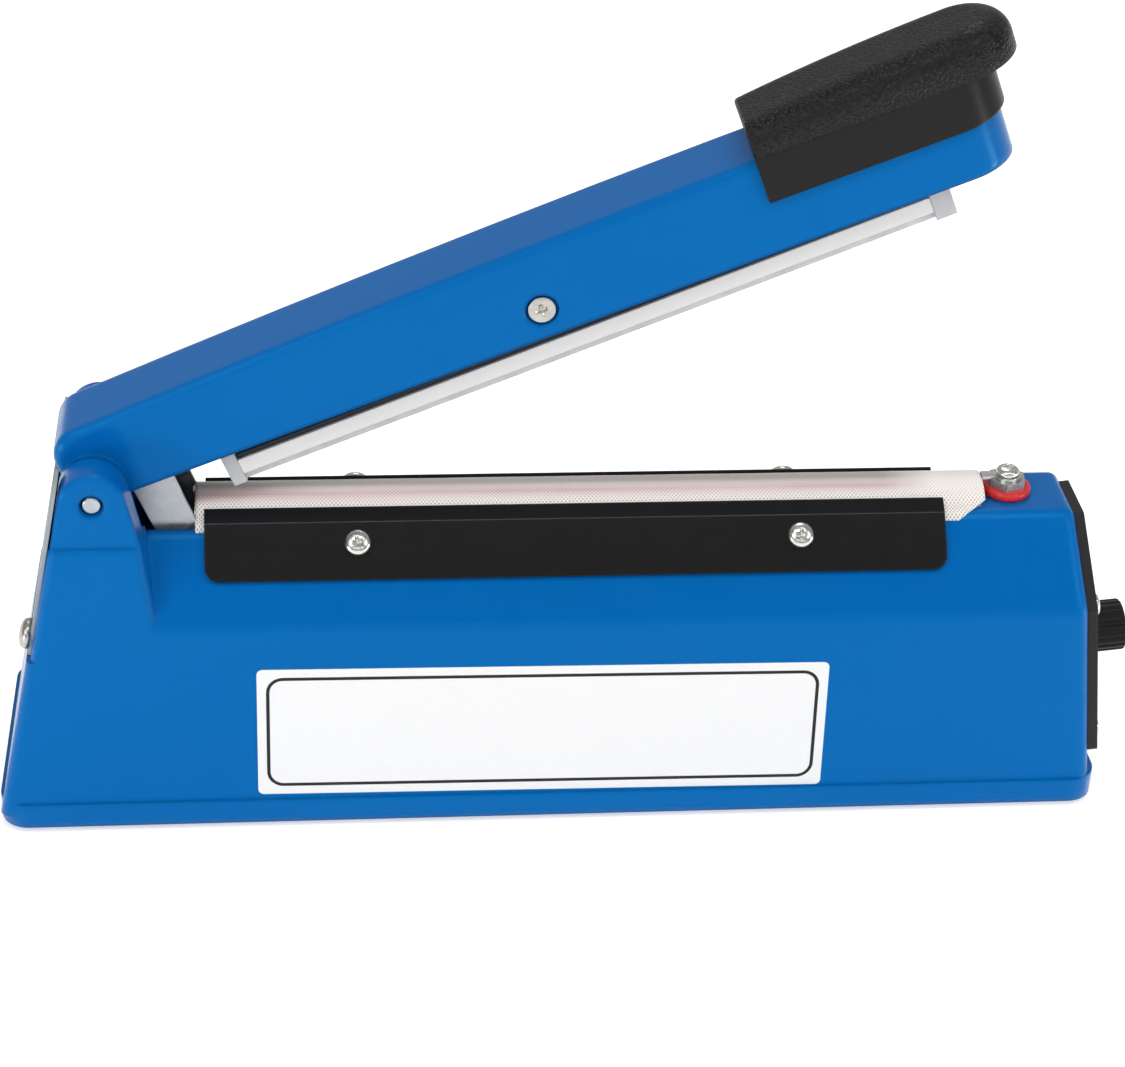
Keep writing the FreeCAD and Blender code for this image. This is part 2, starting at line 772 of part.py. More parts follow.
# Floor plate, feet and their screws
floor_length = 2 * (knob_end(rim_height) - end_wall - seat_gap)
floor_width = 2 * (front_half - wall - seat_gap)
floor_body = new_body("floor_form")
sketch = new_sketch(floor_body, "XY")
add_round_box(sketch, floor_length / 2, floor_width / 2, rim_corner / 2)
for x_sign in (1, -1):
    for y_sign in (1, -1):
        add_ring(sketch, x_sign * boss_x, y_sign * boss_y, hole_radius)
strap_foot_x = core_length / 2 + 7
for x_sign in (1, -1):
    add_ring(sketch, core_x + x_sign * strap_foot_x, 0, hole_radius)
pad(floor_body, sketch, floor_thickness)
floor_body.Label = "bottom_plate"
on_base(floor_body)

feet = []
for x_sign in (1, -1):
    for y_sign in (1, -1):
        feet.append(rod("foot", foot_radius, stand_height, x_sign * (half_length - foot_setback),
                        y_sign * foot_spread / 2, 0))
rubber_feet = group("rubber_feet", feet)

low_head = stand_height - 0.5
bottom_screws = []
for x_sign in (1, -1):
    for y_sign in (1, -1):
        bottom_screws.append(screw("bottom_screw", screw_radius, boss_screw_length, screw_head, low_head,
                                   x_sign * boss_x, y_sign * boss_y, stand_height, AXIS_X, 180))
group("bottom_screws", bottom_screws)

# Rear cover, in a frame on the leaning face
cover = new_body("rear_cover")
sketch = new_sketch(cover, "YZ")
cover_half = ear_outer_width / 2
notch_half = ear_gap_width / 2 + 0.5
notch_low = cover_height - 17
add_loop(sketch, [(-cover_half, seat_gap), (cover_half, seat_gap),
                  (cover_half, cover_height - cover_corner, cover_corner),
                  (cover_half - cover_corner, cover_height), (notch_half, cover_height),
                  (notch_half, notch_low), (-notch_half, notch_low), (-notch_half, cover_height),
                  (cover_corner - cover_half, cover_height, cover_corner),
                  (-cover_half, cover_height - cover_corner)])
add_ring(sketch, cover_screw_y, cover_screw_up, hole_radius)
pad(cover, sketch, cover_thickness, reverse=True)
place(cover, cover_face(rear_step_height), 0, stand_height + rear_step_height, AXIS_Y, rear_lean)
cover_head_x = cover_screw_x - cover_thickness * cosine(rear_lean)
cover_head_z = cover_screw_z + cover_thickness * sine(rear_lean)
cover_head = 4.3
cover_head_height = 3.0
screw("rear_cover_screw", screw_radius, cover_screw_length, cover_head, cover_head_height, cover_head_x,
      cover_screw_y, stand_height + cover_head_z, -AXIS_Y, 90 - rear_lean)

# Control panel, in a frame on the leaning face at the knob end
panel = new_body("control_panel")
sketch = new_sketch(panel, "YZ")


def panel_up(height):
    """Distance along the panel from its lower edge to a height."""
    return (height - panel_low) / cosine(knob_lean)


panel_inset = corner_round - 0.3
outline = [(wall_half(panel_low) - panel_inset, 0),
           (shoulder_half - panel_inset, panel_up(shoulder_height - 1.3)),
           (panel_top_width / 2, panel_up(panel_high))]
add_loop(sketch, outline + [(-y, z) for y, z in reversed(outline)])
knob_up = panel_up(knob_height)
bush_radius = shaft_radius + 0.6
add_ring(sketch, 0, knob_up, bush_radius + hole_gap)
lamp_up = panel_up(lamp_height)
add_ring(sketch, 0, lamp_up, lamp_radius + hole_gap)
for y, up in panel_screw_spots:
    add_ring(sketch, y, up, hole_radius)
pad(panel, sketch, panel_thickness)
panel_corner = 1.5
round_edges(panel, lambda edge: along(edge, AXIS_X), panel_corner)


def on_panel(thing, up=0, out=0, y=0):
    """Put a sub-part on the control panel's frame."""
    x = panel_x - as_size(up) * sine(knob_lean) + as_size(out) * cosine(knob_lean)
    z = panel_low + as_size(up) * cosine(knob_lean) + as_size(out) * sine(knob_lean)
    return place(thing, x, y, stand_height + z, -AXIS_Y, knob_lean)


on_panel(panel)
panel_head = 3.2
panel_head_height = 1.6
panel_screws = []
for y, up in panel_screw_spots:
    x = panel_x - up * sine(knob_lean) + panel_thickness * cosine(knob_lean)
    z = panel_low + up * cosine(knob_lean) + panel_thickness * sine(knob_lean)
    panel_screws.append(screw("panel_screw", screw_radius, panel_hole_depth - 1, panel_head,
                              panel_head_height, x, y, stand_height + z, AXIS_Y, 90 - knob_lean))
group("panel_screws", panel_screws)

# Timer potentiometer behind the panel, its turning shaft and the knob
pot = new_body("potentiometer")
bush_length = panel_thickness + 4.5
sketch = new_sketch(pot, "YZ")
pot_radius = 8.3
pot_depth = 10
add_ring(sketch, 0, 0, pot_radius)
pad(pot, sketch, pot_depth, reverse=True)
sketch = new_sketch(pot, "YZ")
add_ring(sketch, 0, 0, bush_radius)
pad(pot, sketch, bush_length)
sketch = new_sketch(pot, "YZ")
add_ring(sketch, 0, 0, shaft_radius + pin_fit)
pocket(pot, sketch, 2 * (bush_length + 5))
on_panel(pot, knob_up)
pot_nut_flats = 10.0
pot_nut_height = 2.0
pot_nut = hex_nut("pot_nut", pot_nut_flats, pot_nut_height, bush_radius + pin_fit)
x = panel_x - knob_up * sine(knob_lean) + panel_thickness * cosine(knob_lean)
z = panel_low + knob_up * cosine(knob_lean) + panel_thickness * sine(knob_lean)
place(pot_nut, x, 0, stand_height + z, AXIS_Y, 90 - knob_lean)
shaft = new_body("pot_shaft")
shaft_depth = 4
sketch = new_sketch(shaft, "YZ", -shaft_depth)
add_ring(sketch, 0, 0, shaft_radius)
shaft_length = panel_thickness + knob_length + 2
pad(shaft, sketch, shaft_length)
on_panel(shaft, knob_up)

knob = new_body("control_knob")
knob_back = panel_thickness + 0.4
sketch = new_sketch(knob, "YZ", knob_back)
add_ring(sketch, 0, 0, knob_radius)
pad(knob, sketch, knob_length)
knob_round = 1.0
round_edges(knob, lambda edge: abs(middle(edge).x - (knob_back + knob_length).value) < 0.01, knob_round)
flute_count = 20
flute_radius = knob_radius * 0.11
sketch = new_sketch(knob, "YZ", knob_back + 1.2)
for step in range(flute_count):
    turn = 2 * math.pi * step / flute_count
    reach = knob_radius + flute_radius * 0.3
    add_ring(sketch, reach * math.cos(turn), reach * math.sin(turn), flute_radius)
pocket(knob, sketch, knob_length, symmetric=False, reverse=True)
sketch = new_sketch(knob, "YZ", knob_back)
nut_room = bush_radius + 2.6
nut_room_depth = 5.2
add_ring(sketch, 0, 0, nut_room)
pocket(knob, sketch, nut_room_depth, symmetric=False, reverse=True)
sketch = new_sketch(knob, "YZ", knob_back)
add_ring(sketch, 0, 0, shaft_radius)
pocket(knob, sketch, shaft_length - knob_back - shaft_depth + 0.2, symmetric=False, reverse=True)
on_panel(knob, knob_up)

# Pilot lamp above the knob
lamp = new_body("pilot_lamp")
lamp_depth = 6.0
lens_height = 1.8
sketch = new_sketch(lamp, "YZ", -lamp_depth)
add_ring(sketch, 0, 0, lamp_radius)
pad(lamp, sketch, lamp_depth + panel_thickness)
sketch = new_sketch(lamp, "YZ", panel_thickness)
lens_radius = lamp_radius + 0.9
add_ring(sketch, 0, 0, lens_radius)
pad(lamp, sketch, lens_height)


def is_lens_rim(edge):
    """True for the outer edge of the lens."""
    return middle(edge).x > (panel_thickness + lens_height).value - 0.01


round_edges(lamp, is_lens_rim, lens_height * 0.7)
on_panel(lamp, lamp_up)

# Cord inlet grommet in the back wall, in a frame on the wall
grommet = new_body("cord_grommet")
sketch = new_sketch(grommet, "XZ")
flange = grommet_neck + 2
neck_depth = 3.4
flange_edge = 1.6
flange_top = 2.6
add_loop(sketch, [(cord_radius, -neck_depth), (grommet_neck, -neck_depth), (grommet_neck, 0), (flange, 0),
                  (flange, flange_edge), (flange - 1, flange_top), (cord_radius, flange_top)])
turned = grommet.newObject("PartDesign::Revolution", "turned")
turned.Profile = sketch
turned.ReferenceAxis = (sketch, ["V_Axis"])
turned.Angle = 360
place(grommet, cord_x, wall_half(cord_height), stand_height + cord_height, -AXIS_X, 90 - wall_lean)

# Bed bar, its insulating strip, the heating ribbon and the cloth
bed_x = bed_start - half_length
bed_half = bed_width / 2
bed_rise = bed_crown - bed_side
bed_radius = (bed_half * bed_half + bed_rise * bed_rise) / (2 * bed_rise)
bed = new_body("seal_bed")
sketch = new_sketch(bed, "YZ", bed_x)
add_loop(sketch, [(-bed_half, ridge_height), (bed_half, ridge_height),
                  (bed_half, ridge_height + bed_side, bed_radius), (-bed_half, ridge_height + bed_side)])
pad(bed, sketch, bed_length)
on_base(bed)

strip_half = 5.0
strip_drop = Size(bed_radius.value - math.sqrt(bed_radius.value ** 2 - strip_half ** 2),
                  "(%s - sqrt(%s ^ 2 - %r))" % (bed_radius.formula, bed_radius.formula, strip_half ** 2))
crown_z = ridge_height + bed_crown
strip = new_body("bed_strip")
sketch = new_sketch(strip, "YZ", bed_x)
strip_edge = crown_z - strip_drop + strip_seat
add_loop(sketch, [(-strip_half, strip_edge, -bed_radius), (strip_half, strip_edge),
                  (strip_half, strip_edge + strip_thickness, bed_radius),
                  (-strip_half, strip_edge + strip_thickness)])
pad(strip, sketch, bed_length)
on_base(strip)

ribbon = new_body("heating_wire")
sketch = new_sketch(ribbon, "XZ")
ribbon_low = crown_z + strip_seat + strip_thickness
ribbon_high = ribbon_low + wire_thickness
ribbon_left = bed_x - 0.4
ribbon_right = terminal_x - 5.5
turn_z = roof - lug_thickness - wire_thickness - 0.1
turn_top = turn_z + wire_thickness
ribbon_end = left_terminal_x - 4
inner_x = ribbon_left + wire_thickness
add_loop(sketch, [(ribbon_left, ribbon_high), (ribbon_left, turn_z), (ribbon_end, turn_z),
                  (ribbon_end, turn_top), (inner_x, turn_top), (inner_x, ribbon_low),
                  (ribbon_right, ribbon_low), (ribbon_right, ribbon_high)])
pad(ribbon, sketch, wire_width, symmetric=True)
on_base(ribbon)

cloth = new_body("cloth_cover")
sketch = new_sketch(cloth, "YZ", bed_x + 0.2)
cloth_low = ribbon_high + 0.15
cloth_half = bed_half + 0.1
cloth_edge = ridge_height + bed_side + 0.1
cloth_rise = cloth_low - cloth_edge
cloth_radius = (cloth_half * cloth_half + cloth_rise * cloth_rise) / (2 * cloth_rise)
hem_reach = 1.7
hem_y = ridge_half + hem_reach
hem_z = ridge_height - hem_reach * tangent(flap_angle) + 0.2
fold_z = ridge_height - 0.1
hem_step = cloth_thickness * 0.7
under = [(hem_y, hem_z), (ridge_half, fold_z), (cloth_half, cloth_edge)]
over = [(cloth_half + 0.15, cloth_edge + cloth_thickness), (ridge_half + hem_step, fold_z + hem_step),
        (hem_y + hem_step, hem_z + hem_step)]
left_under = [(-y, z) for y, z in under]
left_over = [(-y, z) for y, z in over]
left_under[2] = (-cloth_half, cloth_edge, -cloth_radius)
right_over = over[::-1]
right_over[2] = (over[0][0], over[0][1], cloth_radius)
add_loop(sketch, left_under + under[::-1] + right_over + left_over)
cloth_length = bed_length + 1
pad(cloth, sketch, cloth_length)
cloth_right = bed_x + 0.2 + cloth_length
corner = new_sketch(cloth, "XY", ridge_height)
for sign in (1, -1):
    add_box(corner, bed_x - 1, sign * (bed_half - 0.1), bed_x + 2.6, sign * (hem_y + 3))
add_loop(corner, [(cloth_right + 1, -(bed_half - 1)), (cloth_right, -(bed_half - 1)),
                  (cloth_right - 8, -(hem_y + 1)), (cloth_right + 1, -(hem_y + 1))])
pocket(cloth, corner, 30)
on_base(cloth)

# Clamp plates: a lip on the bed's side and a flap on the housing's slope
plate = new_body("clamp_plate_form")
lip_z = crown_z - lip_drop
flap_gap = cloth_thickness + 0.2
flap_line = ridge_height + ridge_half * tangent(flap_angle) + flap_gap / cosine(flap_angle)
lip_line = lip_z + lip_inner * tangent(lip_angle)
bend_y = (flap_line - lip_line) / (tangent(flap_angle) - tangent(lip_angle))
bend_z = lip_line - bend_y * tangent(lip_angle)
flap_end_y = bend_y + clamp_flap
flap_end_z = bend_z - clamp_flap * tangent(flap_angle)
half_turn = (flap_angle + lip_angle) / 2
outer_bend = plate_thickness / cosine((flap_angle - lip_angle) / 2)
sketch = new_sketch(plate, "YZ", clamp_start - half_length)
add_loop(sketch, [(-lip_inner, lip_z), (-bend_y, bend_z), (-flap_end_y, flap_end_z),
                  (-(flap_end_y + plate_thickness * sine(flap_angle)),
                   flap_end_z + plate_thickness * cosine(flap_angle)),
                  (-(bend_y + outer_bend * sine(half_turn)), bend_z + outer_bend * cosine(half_turn)),
                  (-(lip_inner + plate_thickness * sine(lip_angle)),
                   lip_z + plate_thickness * cosine(lip_angle))])
pad(plate, sketch, clamp_length)


def is_flap_corner(edge):
    """True for the two lower corners of the flap."""
    spot = middle(edge)
    short = edge.Length < plate_thickness.value + 0.05
    return short and abs(spot.y) > flap_end_y.value - 0.5


round_edges(plate, is_flap_corner, clamp_corner)
plate_holes = []
for x in clamp_screw_x:
    y = -(clamp_screw_y - sine(flap_angle) * 4)
    z = clamp_screw_z - cosine(flap_angle) * 4
    plate_holes.append(rod("plate_hole", hole_radius, 10, x, y, z, AXIS_X, flap_angle))
front_plate = cut("clamp_plate_front", plate, plate_holes)
on_base(front_plate)
rear_plate = doc.addObject("Part::Mirroring", "clamp_plate_rear")
rear_plate.Label = "clamp_plate_rear"
rear_plate.Source = front_plate
rear_plate.Base = Vector(0, 0, 0)
rear_plate.Normal = AXIS_Y
clamp_screws = []
seat = flap_gap + plate_thickness
for x in clamp_screw_x:
    for sign in (1, -1):
        y = sign * (clamp_screw_y + sine(flap_angle) * seat)
        z = clamp_screw_z + cosine(flap_angle) * seat
        clamp_screws.append(screw("clamp_screw", screw_radius, screw_depth, screw_head, clamp_head_height,
                                  x, y, stand_height + z, Vector(-sign, 0, 0), flap_angle))
group("clamp_screws", clamp_screws)

# Screws that hold the bed bar from inside
bed_screws = []
bed_holes = []
for share in (0.3, 0.7):
    x = bed_x + bed_length * share
    bed_screws.append(screw("bed_screw", screw_radius, wall, screw_head, screw_head_height, x, 0,
                            stand_height + roof, AXIS_X, 180))
    bed_holes.append(rod("bed_hole", hole_radius, wall + 1, x, 0, roof - 0.5))
base_housing.Tool.Shapes = base_housing.Tool.Shapes + bed_holes
group("bed_screws", bed_screws)

# Terminals of the heating ribbon
washer = new_body("insulating_washer")
sketch = new_sketch(washer, "XY")
add_ring(sketch, 0, 0, washer_radius)
add_ring(sketch, 0, 0, hole_radius)
pad(washer, sketch, washer_thickness)
washer_round = 0.9
round_edges(washer, lambda edge: edge.Length > 6 * washer_radius.value - 2, washer_round)
place(washer, terminal_x, 0, stand_height + ridge_height)
terminal_flats = 9.6
terminal_nut = hex_nut("terminal_nut", terminal_flats, nut_thickness, hole_radius)
nut_z = ridge_height + washer_thickness
place(terminal_nut, terminal_x, 0, stand_height + nut_z, AXIS_Z, 20)


def ring_lug(name, tongue):
    """A flat ring lug with a tongue along -X."""
    body = new_body(name)
    plan = new_sketch(body, "XY")
    ring = 4.0
    neck = 1.6
    root = math.sqrt(ring ** 2 - neck ** 2)
    add_loop(plan, [(-root, -neck, ring), (ring, 0, ring), (-root, neck), (-tongue, neck), (-tongue, -neck)])
    add_ring(plan, 0, 0, hole_radius)
    pad(body, plan, lug_thickness)
    return body


lug_z = nut_z + nut_thickness
right_lug = ring_lug("right_lug", 7.5)
place(right_lug, terminal_x, 0, stand_height + lug_z)
left_lug = ring_lug("left_lug", 6.0)
left_lug_z = roof - lug_thickness
place(left_lug, left_terminal_x, 0, stand_height + left_lug_z)
group("wire_lugs", [right_lug, left_lug])
terminal_head = 3.3
terminal_head_height = 2.4
terminal_length = 14
terminal_screws = []
terminal_screws.append(screw("right_terminal_screw", screw_radius, terminal_length, terminal_head,
                             terminal_head_height, terminal_x, 0, stand_height + lug_z + lug_thickness))
terminal_screws.append(screw("left_terminal_screw", screw_radius, wall, terminal_head, terminal_head_height,
                             left_terminal_x, 0, stand_height + left_lug_z, AXIS_X, 180))
group("terminal_screws", terminal_screws)

# Hinge pin and the lower anchor of the return spring
pin_length = ear_outer_width - 1.4
hinge_pin = rod("hinge_pin", pin_radius, pin_length, pin_x, pin_length / 2, pin_z, AXIS_X, 90)
hinge_pin.Label = "hinge_pin"
spring_anchor = rod("spring_anchor", anchor_radius, 2 * anchor_half, anchor_x, anchor_half,
                    stand_height + anchor_z, AXIS_X, 90)
spring_anchor.Label = "spring_anchor"

# Return spring: an extension spring with a side loop on each pin, one unbroken wire
turns = 14


def spring_shape():
    """Wire of the spring as arcs, swept by its round section."""
    reach = coil_radius.value
    thick = spring_wire.value
    loop = anchor_radius.value + thick + seat_gap.value
    hook_low = anchor_z.value
    hook_high = (pin_height - spring_arm * sine(open_angle) + spring_rise * cosine(open_angle)).value
    start = hook_low + loop
    end = hook_high - loop
    pitch = (end - start) / turns

    def on_coil(quarter):
        """Point of the coil after a number of quarter turns."""
        turn = math.pi / 2 * quarter
        return Vector(reach * math.sin(turn), reach * math.cos(turn), start + pitch * quarter / 4)

    def on_hook(centre, angle):
        """Point of an end loop at an angle from its top."""
        turn = math.radians(angle)
        return Vector(loop * math.sin(turn), reach, centre + loop * math.cos(turn))

    edges = []
    for low, mid, high in ((-80, -10, 60), (60, 120, 180)):
        edges.append(Part.Arc(on_hook(hook_low, low + 180), on_hook(hook_low, mid + 180),
                              on_hook(hook_low, high + 180)).toShape())
    for step in range(4 * turns):
        edges.append(Part.Arc(on_coil(step), on_coil(step + 0.5), on_coil(step + 1)).toShape())
    for low, mid, high in ((180, 120, 60), (60, -10, -80)):
        edges.append(Part.Arc(on_hook(hook_high, -low), on_hook(hook_high, -mid),
                              on_hook(hook_high, -high)).toShape())
    path = Part.Wire(Part.__sortEdges__(edges))
    first = path.OrderedEdges[0]
    tip = first.valueAt(first.FirstParameter)
    way = first.tangentAt(first.FirstParameter)
    section = Part.Wire(Part.Circle(tip, way, thick).toShape())
    spots = path.discretize(Number=40 * turns)
    half_turn_steps = int(math.pi * reach / (path.Length / (len(spots) - 1)))
    least = path.Length
    for index, spot in enumerate(spots):
        for other in spots[index + half_turn_steps:]:
            least = min(least, spot.distanceToPoint(other))
    print("spring least gap between its own turns", round(least - 2 * thick, 3))
    return path.makePipeShell([section], True, False)


return_spring = doc.addObject("Part::Feature", "return_spring")
return_spring.Label = "return_spring"
return_spring.Shape = spring_shape()
place(return_spring, anchor_x, 0, stand_height)

# Transformer on the floor plate
core_z = stand_height + floor_thickness
leg_share = 0.335
yoke = core_height * 0.2
window_length = core_length * 0.165
window_height = core_height * 0.6
core_block = block("core_block", core_length, core_stack, core_height, core_x - core_length / 2,
                   -core_stack / 2, 0)
windows = []
centre_leg = core_length * leg_share
for sign in (1, -1):
    middle_x = core_x + sign * (centre_leg + window_length) / 2
    windows.append(block("core_window", window_length, core_stack + 2, window_height,
                         middle_x - window_length / 2, -core_stack / 2 - 1, yoke))
core = cut("transformer_core", core_block, windows)
place(core, 0, 0, core_z)
coil_length = centre_leg + 2 * (window_length - seat_gap)
coil_width = core_stack + 2 * (window_length - seat_gap)
coil_height = window_height - 2 * seat_gap
coil_block = block("coil_block", coil_length, coil_width, coil_height, core_x - coil_length / 2,
                   -coil_width / 2, yoke + seat_gap)
coil_bore = block("coil_bore", centre_leg + 2 * seat_gap, core_stack + 2 * seat_gap, coil_height + 2,
                  core_x - centre_leg / 2 - seat_gap, -core_stack / 2 - seat_gap, yoke - 1)
coil = cut("transformer_coil", coil_block, [coil_bore])
place(coil, 0, 0, core_z)
strap_sheet = 1.0
strap_gap = 0.1
strap_width = core_stack * 0.7
strap_side = core_length / 2 + strap_gap
strap_top = core_height + strap_gap
strap_foot_length = 13.6
strap_outer = block("strap_outer", 2 * (strap_side + strap_sheet), strap_width, strap_top + strap_sheet,
                    core_x - strap_side - strap_sheet, -strap_width / 2, 0)
strap_inner = block("strap_inner", 2 * strap_side, core_stack, strap_top, core_x - strap_side,
                    -core_stack / 2, 0)
strap_feet = []
strap_holes = []
for sign in (1, -1):
    x = core_x + sign * strap_foot_x
    strap_feet.append(block("strap_foot", strap_foot_length, strap_width, strap_sheet,
                            x - strap_foot_length / 2, -strap_width / 2, 0))
    strap_holes.append(rod("strap_hole", hole_radius, strap_sheet + 3, x, 0, -1))
strap_form = fused("strap_form", [strap_outer] + strap_feet)
strap = cut("transformer_strap", strap_form, [strap_inner] + strap_holes)
place(strap, 0, 0, core_z)
strap_screws = []
for sign in (1, -1):
    strap_screws.append(screw("strap_screw", screw_radius, floor_thickness + strap_sheet, screw_head,
                              screw_head_height, core_x + sign * strap_foot_x, 0, core_z + strap_sheet))
group("transformer_screws", strap_screws)

# Timer board on four posts
board_x = half_length - 92
board_sheet = 1.6
post_height = 9
post_radius = 2.5
post_inset = 4
posts = []
for x_sign in (1, -1):
    for y_sign in (1, -1):
        x = board_x + x_sign * (board_length / 2 - post_inset)
        y = y_sign * (board_width / 2 - post_inset)
        posts.append(rod("post", post_radius, post_height, x, y, core_z))
group("board_posts", posts)
board_z = core_z + post_height
board = block("timer_board", board_length, board_width, board_sheet, board_x - board_length / 2,
              -board_width / 2, board_z)
board.Label = "timer_board"
board_top = board_z + board_sheet
relay_size = (19, 15.5, 15)
sink_size = (16, 4, 14)
capacitor_radius = 5
capacitor_height = 16
relay = block("relay", *relay_size, board_x - 22, -board_width / 2 + post_inset, board_top)
capacitor = rod("capacitor", capacitor_radius, capacitor_height, board_x + 12, -9, board_top)
small_capacitor = rod("small_capacitor", capacitor_radius * 0.64, capacitor_height * 0.7, board_x + 14, 6,
                      board_top)
heat_sink = block("heat_sink", *sink_size, board_x - 18, 8, board_top)
group("board_parts", [relay, capacitor, small_capacitor, heat_sink])

# Switch on its shelf, with the button that the bracket's foot presses
switch_x = pin_x + 20.5
switch_length = 20.0
switch_width = 11.0
switch_screw_reach = switch_length / 2 - 3
button_bore = button_radius + turn_gap
foot_along = (switch_x - pin_x - leg_length * sine(open_angle)) / cosine(open_angle)
foot_z = pin_height + foot_along * sine(open_angle) - leg_length * cosine(open_angle)
button_top = foot_z - button_gap
switch_top = switch_shelf + switch_height
switch_block = block("switch_block", switch_length, switch_width, switch_height,
                     switch_x - switch_length / 2, -switch_width / 2, switch_shelf)
switch_floor = 2
button_hole = rod("button_hole", button_bore, switch_height, switch_x, 0, switch_shelf + switch_floor)
switch_screw_x = [switch_x + sign * switch_screw_reach for sign in (1, -1)]
switch_holes = []
for x in switch_screw_x:
    switch_holes.append(rod("switch_hole", hole_radius, switch_height + 2, x, 0, switch_shelf - 1))
switch = cut("switch_body", switch_block, [button_hole] + switch_holes)
on_base(switch)
button_low = switch_shelf + switch_floor + button_travel + 0.4
button = new_body("switch_button")
sketch = new_sketch(button, "XY")
add_ring(sketch, 0, 0, button_radius)
pad(button, sketch, button_top - button_low)


def is_button_top(edge):
    """True for the upper edge of the button."""
    return middle(edge).z > (button_top - button_low).value - 0.01


round_edges(button, is_button_top, button_radius * 0.8)
place(button, switch_x, 0, stand_height + button_low)
switch_head = 3.2
switch_head_height = 2.0
switch_screws = []
shelf_holes = []
for x in switch_screw_x:
    switch_screws.append(screw("switch_screw", screw_radius, switch_height + wall, switch_head,
                               switch_head_height, x, 0, stand_height + switch_top))
    shelf_holes.append(rod("shelf_hole", hole_radius, wall + 2, x, 0, switch_shelf - wall - 1))
base_housing.Tool.Shapes = base_housing.Tool.Shapes + shelf_holes
group("switch_screws", switch_screws)

# Arm shell
arm_half = arm_width / 2
hub_radius = ear_radius - 1.2
arm = new_body("arm_shell")
side = new_sketch(arm, "XZ")
add_loop(side, [(arm_tip, arm_low_tip), (arm_tip, arm_tip_top, arm_crown_radius),
                (-arm_rear, arm_rear_top), (-arm_rear, -hub_radius * 0.45),
                (-hub_radius * 0.45, -hub_radius), (hub_radius * 0.5, -hub_radius), (hub_radius, arm_low)])
pad(arm, side, arm_width, symmetric=True)


def is_nose_edge(edge):
    """True for the two upright edges at the arm's nose."""
    return along(edge, AXIS_Z) and abs(middle(edge).x - arm_tip.value) < 0.1


def is_rear_top(edge):
    """True for the upper edge at the arm's rear."""
    spot = middle(edge)
    return along(edge, AXIS_Y) and spot.x < 0 and spot.z > arm_rear_top.value - 1


def is_arm_ridge(edge):
    """True for the long edges along the arm's top."""
    spot = middle(edge)
    top = arm_rear_top.value - 0.5
    return spot.z > top and not along(edge, AXIS_Y)


round_edges(arm, is_nose_edge, arm_half - 0.05)
arm_rear_round = 8.0
round_edges(arm, is_rear_top, arm_rear_round)
round_edges(arm, is_arm_ridge, arm_ridge_round)
hub = new_sketch(arm, "XZ")
add_ring(hub, 0, 0, hub_radius - 0.5)
pad(arm, hub, ear_gap_width - 2 * seat_gap, symmetric=True)
inner_half = arm_half - arm_wall
channel = new_sketch(arm, "XZ")
channel_end = arm_tip - arm_half
far_below = -30
channel_start = arm_wall - arm_rear
channel_roof = arm_tip_top - arm_wall
add_loop(channel, [(channel_start, far_below), (channel_end, far_below), (channel_end, channel_roof),
                   (handle_start, channel_roof - 0.3), (channel_start, arm_rear_top - arm_wall)])
pocket(arm, channel, 2 * inner_half)
rear_open = new_sketch(arm, "XZ")
rear_opening = 4.0
add_box(rear_open, -arm_rear - 3, far_below, 0, rear_opening)
pocket(arm, rear_open, 2 * inner_half)
bores = new_sketch(arm, "XZ")
add_ring(bores, 0, 0, pin_radius + turn_gap)
add_ring(bores, bar_pivot_along, bar_pivot_up, hole_radius)
add_ring(bores, -spring_arm, spring_rise, anchor_radius + pin_fit)
pocket(arm, bores, base_width)
sink = new_sketch(arm, "XZ", arm_half)
add_ring(sink, bar_pivot_along, bar_pivot_up, pivot_head + 0.3)
pocket(arm, sink, pivot_sink, symmetric=False)
handle_screw_spots = [handle_start + 11, handle_start + 42]
roof_holes = new_sketch(arm, "XY")
for spot in handle_screw_spots:
    add_ring(roof_holes, spot, 0, hole_radius)
pocket(arm, roof_holes, 60, symmetric=True)
bracket_spots = [as_size(14.0), as_size(27.0)]
land_radius = 3.6
lands = new_sketch(arm, "XY", bracket_top)
for spot in bracket_spots:
    add_ring(lands, spot, 0, land_radius)
pad(arm, lands, arm_rear_top - bracket_top - arm_wall * 0.5)
on_arm(arm)

# Steel bracket in the arm, with legs that reach into the base
bracket = new_body("arm_bracket")
side = new_sketch(bracket, "XZ")
leg_end = leg_start + leg_width
cheek_drop = 5.5
front_drop = 2.0
add_loop(side, [(bracket_rear, -cheek_drop), (leg_start - 0.6, -cheek_drop), (leg_start, -leg_length),
                (leg_end, -leg_length), (leg_end, -cheek_drop - 0.5), (bracket_front, -front_drop),
                (bracket_front, bracket_top), (bracket_rear, bracket_top)])
pad(bracket, side, bracket_width, symmetric=True)
inside = new_sketch(bracket, "XZ")
add_box(inside, -20, bracket_sheet - leg_length, 60, bracket_top - bracket_sheet)
pocket(bracket, inside, bracket_width - 2 * bracket_sheet)
bores = new_sketch(bracket, "XZ")
add_ring(bores, 0, 0, pin_radius + turn_gap)
pocket(bracket, bores, base_width)
tops = new_sketch(bracket, "XY", bracket_top)
for spot in bracket_spots:
    add_ring(tops, spot, 0, hole_radius)
pocket(bracket, tops, 10)
on_arm(bracket)


def arm_spot(along_arm, up):
    """World X and Z of a point in the arm's frame."""
    x = pin_x + along_arm * cosine(open_angle) - up * sine(open_angle)
    z = pin_z + along_arm * sine(open_angle) + up * cosine(open_angle)
    return x, z


